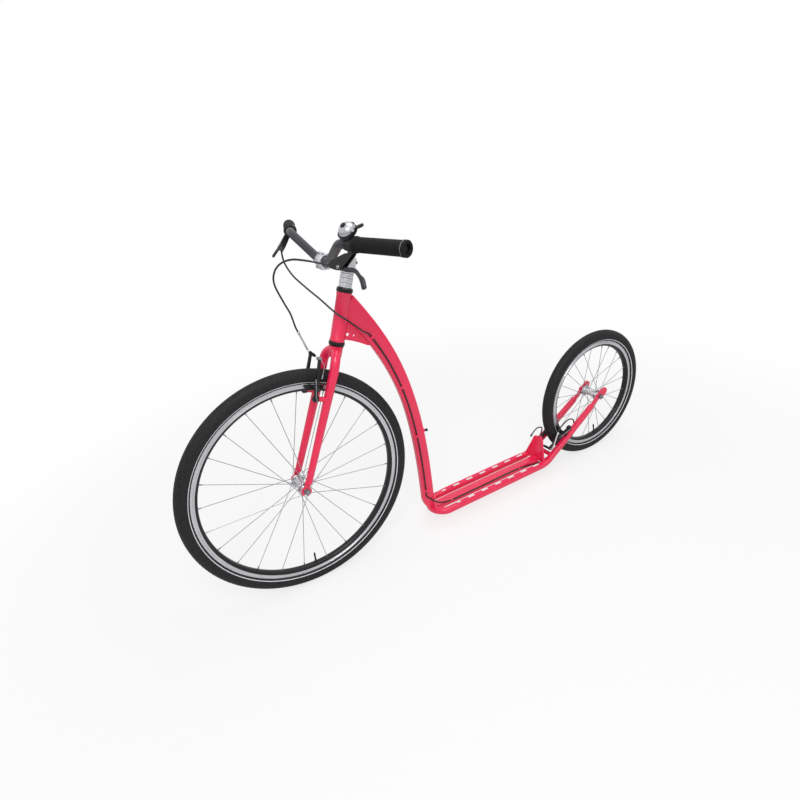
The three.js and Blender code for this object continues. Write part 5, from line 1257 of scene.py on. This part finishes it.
def arm_width(height):
    return lerp(ARM_FOOT, ARM_TOP, height / ARM_LENGTH)


def arm_inward(height):
    return (BOSS_SPREAD - ARM_TOP_SPREAD) * height / ARM_LENGTH


def arm_pivot(brake, out):
    return v(brake["reach"], out * BOSS_SPREAD, arm_pivot_height(brake["wheel"]))


def noodle_end(inward, rise):
    bend = v(0, inward * (arm_inward(ARM_LENGTH) - NOODLE_OUT), WIRE_HEIGHT)
    return bend, bend + v(NOODLE_FORWARD, 0, rise)


def pad_place(brake):
    """The radius of the brake track, the pad's angle on it and its height above the pivot."""
    track = track_radius(brake["wheel"])
    angle = asin(brake["reach"] / track)
    return track, angle, track * cos(angle) - (track - BOSS_DROP)


def brake_arm(end, name, brake, inward, place):
    body, steps = f"{end}_arm_{name}", 24
    rings = []
    for share in (k / steps for k in range(steps + 1)):
        height = ARM_LENGTH * share
        waist = 1 - 0.16 * sin(pi * min(1, height / 60))
        rings.append(section(v(0, inward * arm_inward(height), height), LEFTWARD, FORWARD,
                             arm_width(height) / 2 * waist, ARM_THICK / 2 * (1 - 0.12 * share),
                             28, 0.6))
    half = FORWARD * (ARM_THICK / 2)
    rise = pad_place(brake)[2]
    seat = v(0, inward * arm_inward(rise), rise)
    arm = [skin(rings), ring_tube(-half, half, 9, 4.6, 0.9),
           turned([(4.6, 0), (8, 0), (8, 2.6), (4.6, 2.6)], -half - FORWARD * 0.1, -FORWARD, 36),
           ring_tube(*about(seat, FORWARD * 6), 7, 3, 1.2)]
    piece(body + "_lever", place, arm, BLACK, body, f"{end}_brake_arm_{name}", 38)
    wire = flowing([v(x, inward * y, z) for x, y, z in SPRING_WIRE], 6)
    piece(f"{end}_return_spring_{name}", place, [cord(wire, SPRING_RADIUS, 10)], STEEL, body)
    out = (place.to_3x3() @ FORWARD).normalized()
    front = place.to_translation() + out * (ARM_THICK / 2 + SEAM)
    cap = [(0, 1.2), (2.6, 1.2), (2.6, 3.4), (4.6, 3.4), (5.6, 2.4), (5.6, 0.6), (0, 0.6)]
    piece(f"{end}_boss_bolt_{name}", BIKE, [rod(front, front + out, 7.2, sides=28),
                                            turned(cap, front, out, 28)],
          DARK_BOLT, brake["base"], sharp=30)


def brake_pad(end, name, brake, inward, place):
    track, middle, height = pad_place(brake)
    spread, steps = PAD_LENGTH / 2 / track, 24
    face = BOSS_SPREAD - RIM_WIDTH / 2 - PAD_GAP

    def at(angle, out):
        return v(track * sin(angle) - brake["reach"], inward * out,
                 track * (cos(angle) - 1) + BOSS_DROP)

    pad = []
    for out, thick, tall, look in ((face - 2.4, 2.3, PAD_HEIGHT / 2, 0),
                                   (face - 6.6, 2.2, PAD_HEIGHT / 2 - 0.9, 1)):
        rings = []
        for t in (2 * k / steps - 1 for k in range(steps + 1)):
            angle, past = middle + spread * t, max(0, abs(t) - 0.86) / 0.14
            soft = min(1, sqrt(max(0.0, 1 - past * past)) + 0.2)
            rings.append(section(at(angle, out), LEFTWARD, v(sin(angle), 0, cos(angle)), thick,
                                 tall * soft, 20, 0.4))
        pad.append(tinted(skin(rings), look))
    root = at(middle, face - 7)
    inside, outside = (v(root.x, inward * (arm_inward(height) + out), root.z)
                       for out in (arm_width(height) / 2 + 1.6, -arm_width(height) / 2 - 4))
    nut = moved(hexagon(5, 4, 0.6), along_z(outside, LEFTWARD * -inward))
    washer = rod(inside, inside + LEFTWARD * (inward * 2.4), 6.6, 5, 28, 1)
    pad += [tinted(shell, 2) for shell in (rod(root, outside, 3), nut, washer)]
    piece(f"{end}_pad_shoe_{name}", place, pad, [PAD, BLACK, DARK_BOLT], f"{end}_arm_{name}",
          f"{end}_brake_pad_{name}", 38)


def noodle(end, name, inward, rise, place):
    bend, tail = noodle_end(inward, rise)
    across = LEFTWARD * inward
    tip = v(0, inward * ARM_TIP, WIRE_HEIGHT)
    tube = [
        cord(dense(bent([tip + across * 2, bend, tail], NOODLE_BEND, 14), 8), NOODLE_RADIUS, 20),
        turned([(0, 0), (3.2, 0), (3.6, 0.6), (3.6, 8), (2.6, 9.4), (0, 9.4)], tail,
               (bend - tail).normalized(), 28),
        tinted(turned([(0, 0), (4.4, 0), (5, 1), (5, 6), (4.2, 7.4), (0, 7.4)],
                      tip - across * ARM_TOP, across, 28), 1),
    ]
    piece(f"{end}_noodle_tube", place, tube, [SILVER, BLACK], f"{end}_arm_{name}",
          f"{end}_brake_noodle", 38)
    boot = [(0, 0), (3.4, 0)]
    for k in range(8):
        z, width = 1 + k * 3, 4.8 * (1 - 0.22 * abs(k - 2.5) / 5)
        boot += [(width - 0.7, z), (width, z + 0.9), (width, z + 1.7), (width - 0.7, z + 2.6)]
    boot += [(2.6, 26), (2.1, 25), (0, 24)]
    piece(f"{end}_noodle_boot", place, [turned(boot, tip, across, 28)], GRIP,
          f"{end}_arm_{name}", sharp=45)


def brake_wire(end, name, inward, place):
    start = v(0, inward * (ARM_TIP - 12), WIRE_HEIGHT)
    stop = v(0, inward * (2 * BOSS_SPREAD - ARM_TIP - 22), WIRE_HEIGHT)
    clamp = v(0, inward * (ARM_TIP - 5), ARM_LENGTH + 4)
    front = clamp + FORWARD * 5
    back = place.inverted()
    way = flowing([start, *(back @ v(*p) for p in WIRE_TAILS[end])])
    thick, look = (SPRING_RADIUS, 0) if end == "front" else (CABLE_RADIUS, 2)
    tip = way[-1] + (way[-1] - way[-4]).normalized() * 3
    wire = [
        cord([start, stop], WIRE_RADIUS, 10),
        tinted(rod(clamp - FORWARD * 5, front, 4.4, sides=28, chamfer=0.8), 1),
        tinted(moved(hexagon(4.6, 3.4, 0.5), along_z(front, FORWARD)), 1),
        tinted(cord(way, thick, 12), look),
        tinted(rod(way[-4], tip, thick + 0.9, sides=20), look),
    ]
    piece(f"{end}_brake_wire_end", place, wire, [STEEL, BOLT, CABLE], f"{end}_arm_{name}",
          f"{end}_brake_wire", 30)


for end, brake in BRAKES.items():
    for name, side in HANDS:
        out = brake["turn"] * side
        place = FRAMES[end] @ shift(arm_pivot(brake, out))
        brake_arm(end, name, brake, -out, place)
        brake_pad(end, name, brake, -out, place)
        if name == brake["hand"]:
            noodle(end, name, -out, brake["rise"], place)
        else:
            brake_wire(end, name, -out, place)


# Cables
def noodle_place(end, beyond):
    brake = BRAKES[end]
    bend, tail = noodle_end(1, brake["rise"])
    return FRAMES[end] @ (tail + (tail - bend).normalized() * beyond + arm_pivot(brake, -1))


def barrel_place(name, side, beyond):
    end = BRACKET_END - BARREL_LENGTH - beyond
    return bar_frame(side, LEVER_DROPS[name]) @ v(end, BARREL_OUT)


def bowed(start, end, bows):
    reach = (end - start).length
    return [start.lerp(end, share) + v(x, y, z) * reach for share, x, y, z in bows]


def cable(name, points, body, node):
    return piece(name, BIKE, [cord(flowing(points), CABLE_RADIUS, 16)], CABLE, body,
                 node, 50)


def cables():
    start, lead = (barrel_place("left", 1, d) for d in (CABLE_END, CABLE_LEAD))
    last, end = (noodle_place("front", d) for d in (CABLE_LEAD, CABLE_END))
    cable("front_cable_casing", [start, lead, *bowed(start, end, FRONT_BOWS), last, end],
          "steering", "front_brake_cable")

    # on the real bike the loop between the bar and the frame bends as the bar turns; here it rides
    # on no body and its place is baked into its mesh
    start, lead = (barrel_place("right", -1, d) for d in (CABLE_END, CABLE_LEAD))
    end, way = beside_tube(GUIDE_SHARES[0]), main_way(GUIDE_SHARES[0])
    points = [start, lead, *bowed(start, end, LOOP_BOWS), end - way * CABLE_LEAD, end]
    loop = cable("rear_cable_loop_casing", points, None, "rear_cable_loop")
    first, last = (tuple((p + ROW_SHIFT) * MM) for p in (start, end))
    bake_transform(loop)

    beside = BEAM_WIDTH / 2 + CABLE_RADIUS + TURNING_GAP
    high, low = DECK_TOP - CABLE_RADIUS, DECK_TOP - BEAM_HEIGHT + CABLE_RADIUS
    along_beam = [
        *(v(x, beside - y, z) for x, y, z in FOOT_CABLE),
        v(RAIL_FRONT - YOKE_DEPTH, beside, high), v((KINK - DECK_FRONT) / 2, beside, high),
        v(PLATE_FOOT + PLATE_HEIGHT, beside, high),
        v(PLATE_FOOT + PLATE_HEIGHT / 2, beside, RAIL_MIDDLE),
        v(PLATE_FOOT, beside + TURNING_GAP, low),
    ]
    reach = arm_pivot_height(REAR_RADIUS)
    inside = RAIL_SPREAD - RAIL_WIDTH / 2 - 2 * CABLE_RADIUS - TURNING_GAP
    up = [on_stays(x * reach, lerp(inside, BOSS_SPREAD, out), z * reach)
          for x, out, z in STAY_CABLE_SHARES]
    tube = [beside_tube(share) for share in MAIN_CABLE_SHARES]
    tail = [noodle_place("rear", CABLE_LEAD), noodle_place("rear", CABLE_END)]
    cable("rear_cable_casing", [end + way * CABLE_END, *tube, *along_beam, *up, *tail], "frame",
          "rear_brake_cable")


cables()


# Camera, floor, world and lights
def make_camera():
    data = bpy.data.cameras.new("camera")
    camera = add_object("camera", data)
    level = cos(CAMERA_PITCH)
    ahead = v(level * cos(CAMERA_YAW), level * sin(CAMERA_YAW), sin(CAMERA_PITCH))
    side = ahead.cross(UPWARD).normalized()
    up = side.cross(ahead)
    right = side * cos(CAMERA_ROLL) + up * sin(CAMERA_ROLL)
    top = up * cos(CAMERA_ROLL) - side * sin(CAMERA_ROLL)
    camera.matrix_world = basis(right, top, -ahead, CAMERA_PLACE)
    data.sensor_width = SENSOR
    data.lens = FOCAL_PIXELS * SENSOR / PIXELS
    data.shift_x, data.shift_y = (shift_by / PIXELS for shift_by in SHIFT_PIXELS)
    bpy.context.scene.camera = camera


def make_floor():
    mesh = bpy.data.meshes.new("floor")
    s = FLOOR_SIZE
    mesh.from_pydata([(-s, -s, 0), (s, -s, 0), (s, s, 0), (-s, s, 0)], [], [(0, 1, 2, 3)])
    material = bpy.data.materials.new("floor")
    n = Nodes(material)
    n.set("Principled BSDF", {"Base Color": (0.92, 0.92, 0.92, 1), "Roughness": 0.9,
                              "Specular IOR Level": 0.1})
    # seen directly, the floor fades to plain white far away
    split = n.split()
    far = n.ranged(n.reach(split["X"], split["Y"]), FLOOR_GLOW, 1, FLOOR_NEAR, FLOOR_FAR,
                   interpolation_type="SMOOTHSTEP")
    share = n.maths("MULTIPLY", n.node("LightPath")["Is Camera Ray"], far)
    glow = n.node("Emission", {"Color": (1, 1, 1, 1), "Strength": 1.0})[0]
    lit = n.tree.nodes["Principled BSDF"].outputs[0]
    n.set("Material Output", {"Surface": n.node("MixShader", {0: share, 1: lit, 2: glow})[0]})
    mesh.materials.append(material)
    add_object("floor", mesh)


def make_light():
    world = bpy.data.worlds.new("studio")
    bpy.context.scene.world = world
    n = Nodes(world)
    path = n.node("LightPath")
    mirror = n.maths("MAXIMUM", path["Is Glossy Ray"], path["Is Transmission Ray"])
    seen = n.maths("MAXIMUM", path["Is Camera Ray"], mirror)
    n.set("Background", {"Color": (1, 1, 1, 1),
                         "Strength": n.ranged(seen, WORLD_LEVEL, 1, 0, 1)})
    for name, place, size, power in LAMPS:
        data = bpy.data.lights.new(name, "AREA")
        data.shape, data.size, data.energy = "DISK", size, power
        lamp = add_object(name, data)
        lamp.location = place
        aim = v(0, 0, LIT_HEIGHT) - v(*place)
        lamp.rotation_euler = aim.to_track_quat("-Z", "Y").to_euler()


make_camera()
make_floor()
make_light()
bpy.context.scene.view_settings.view_transform = "Standard"
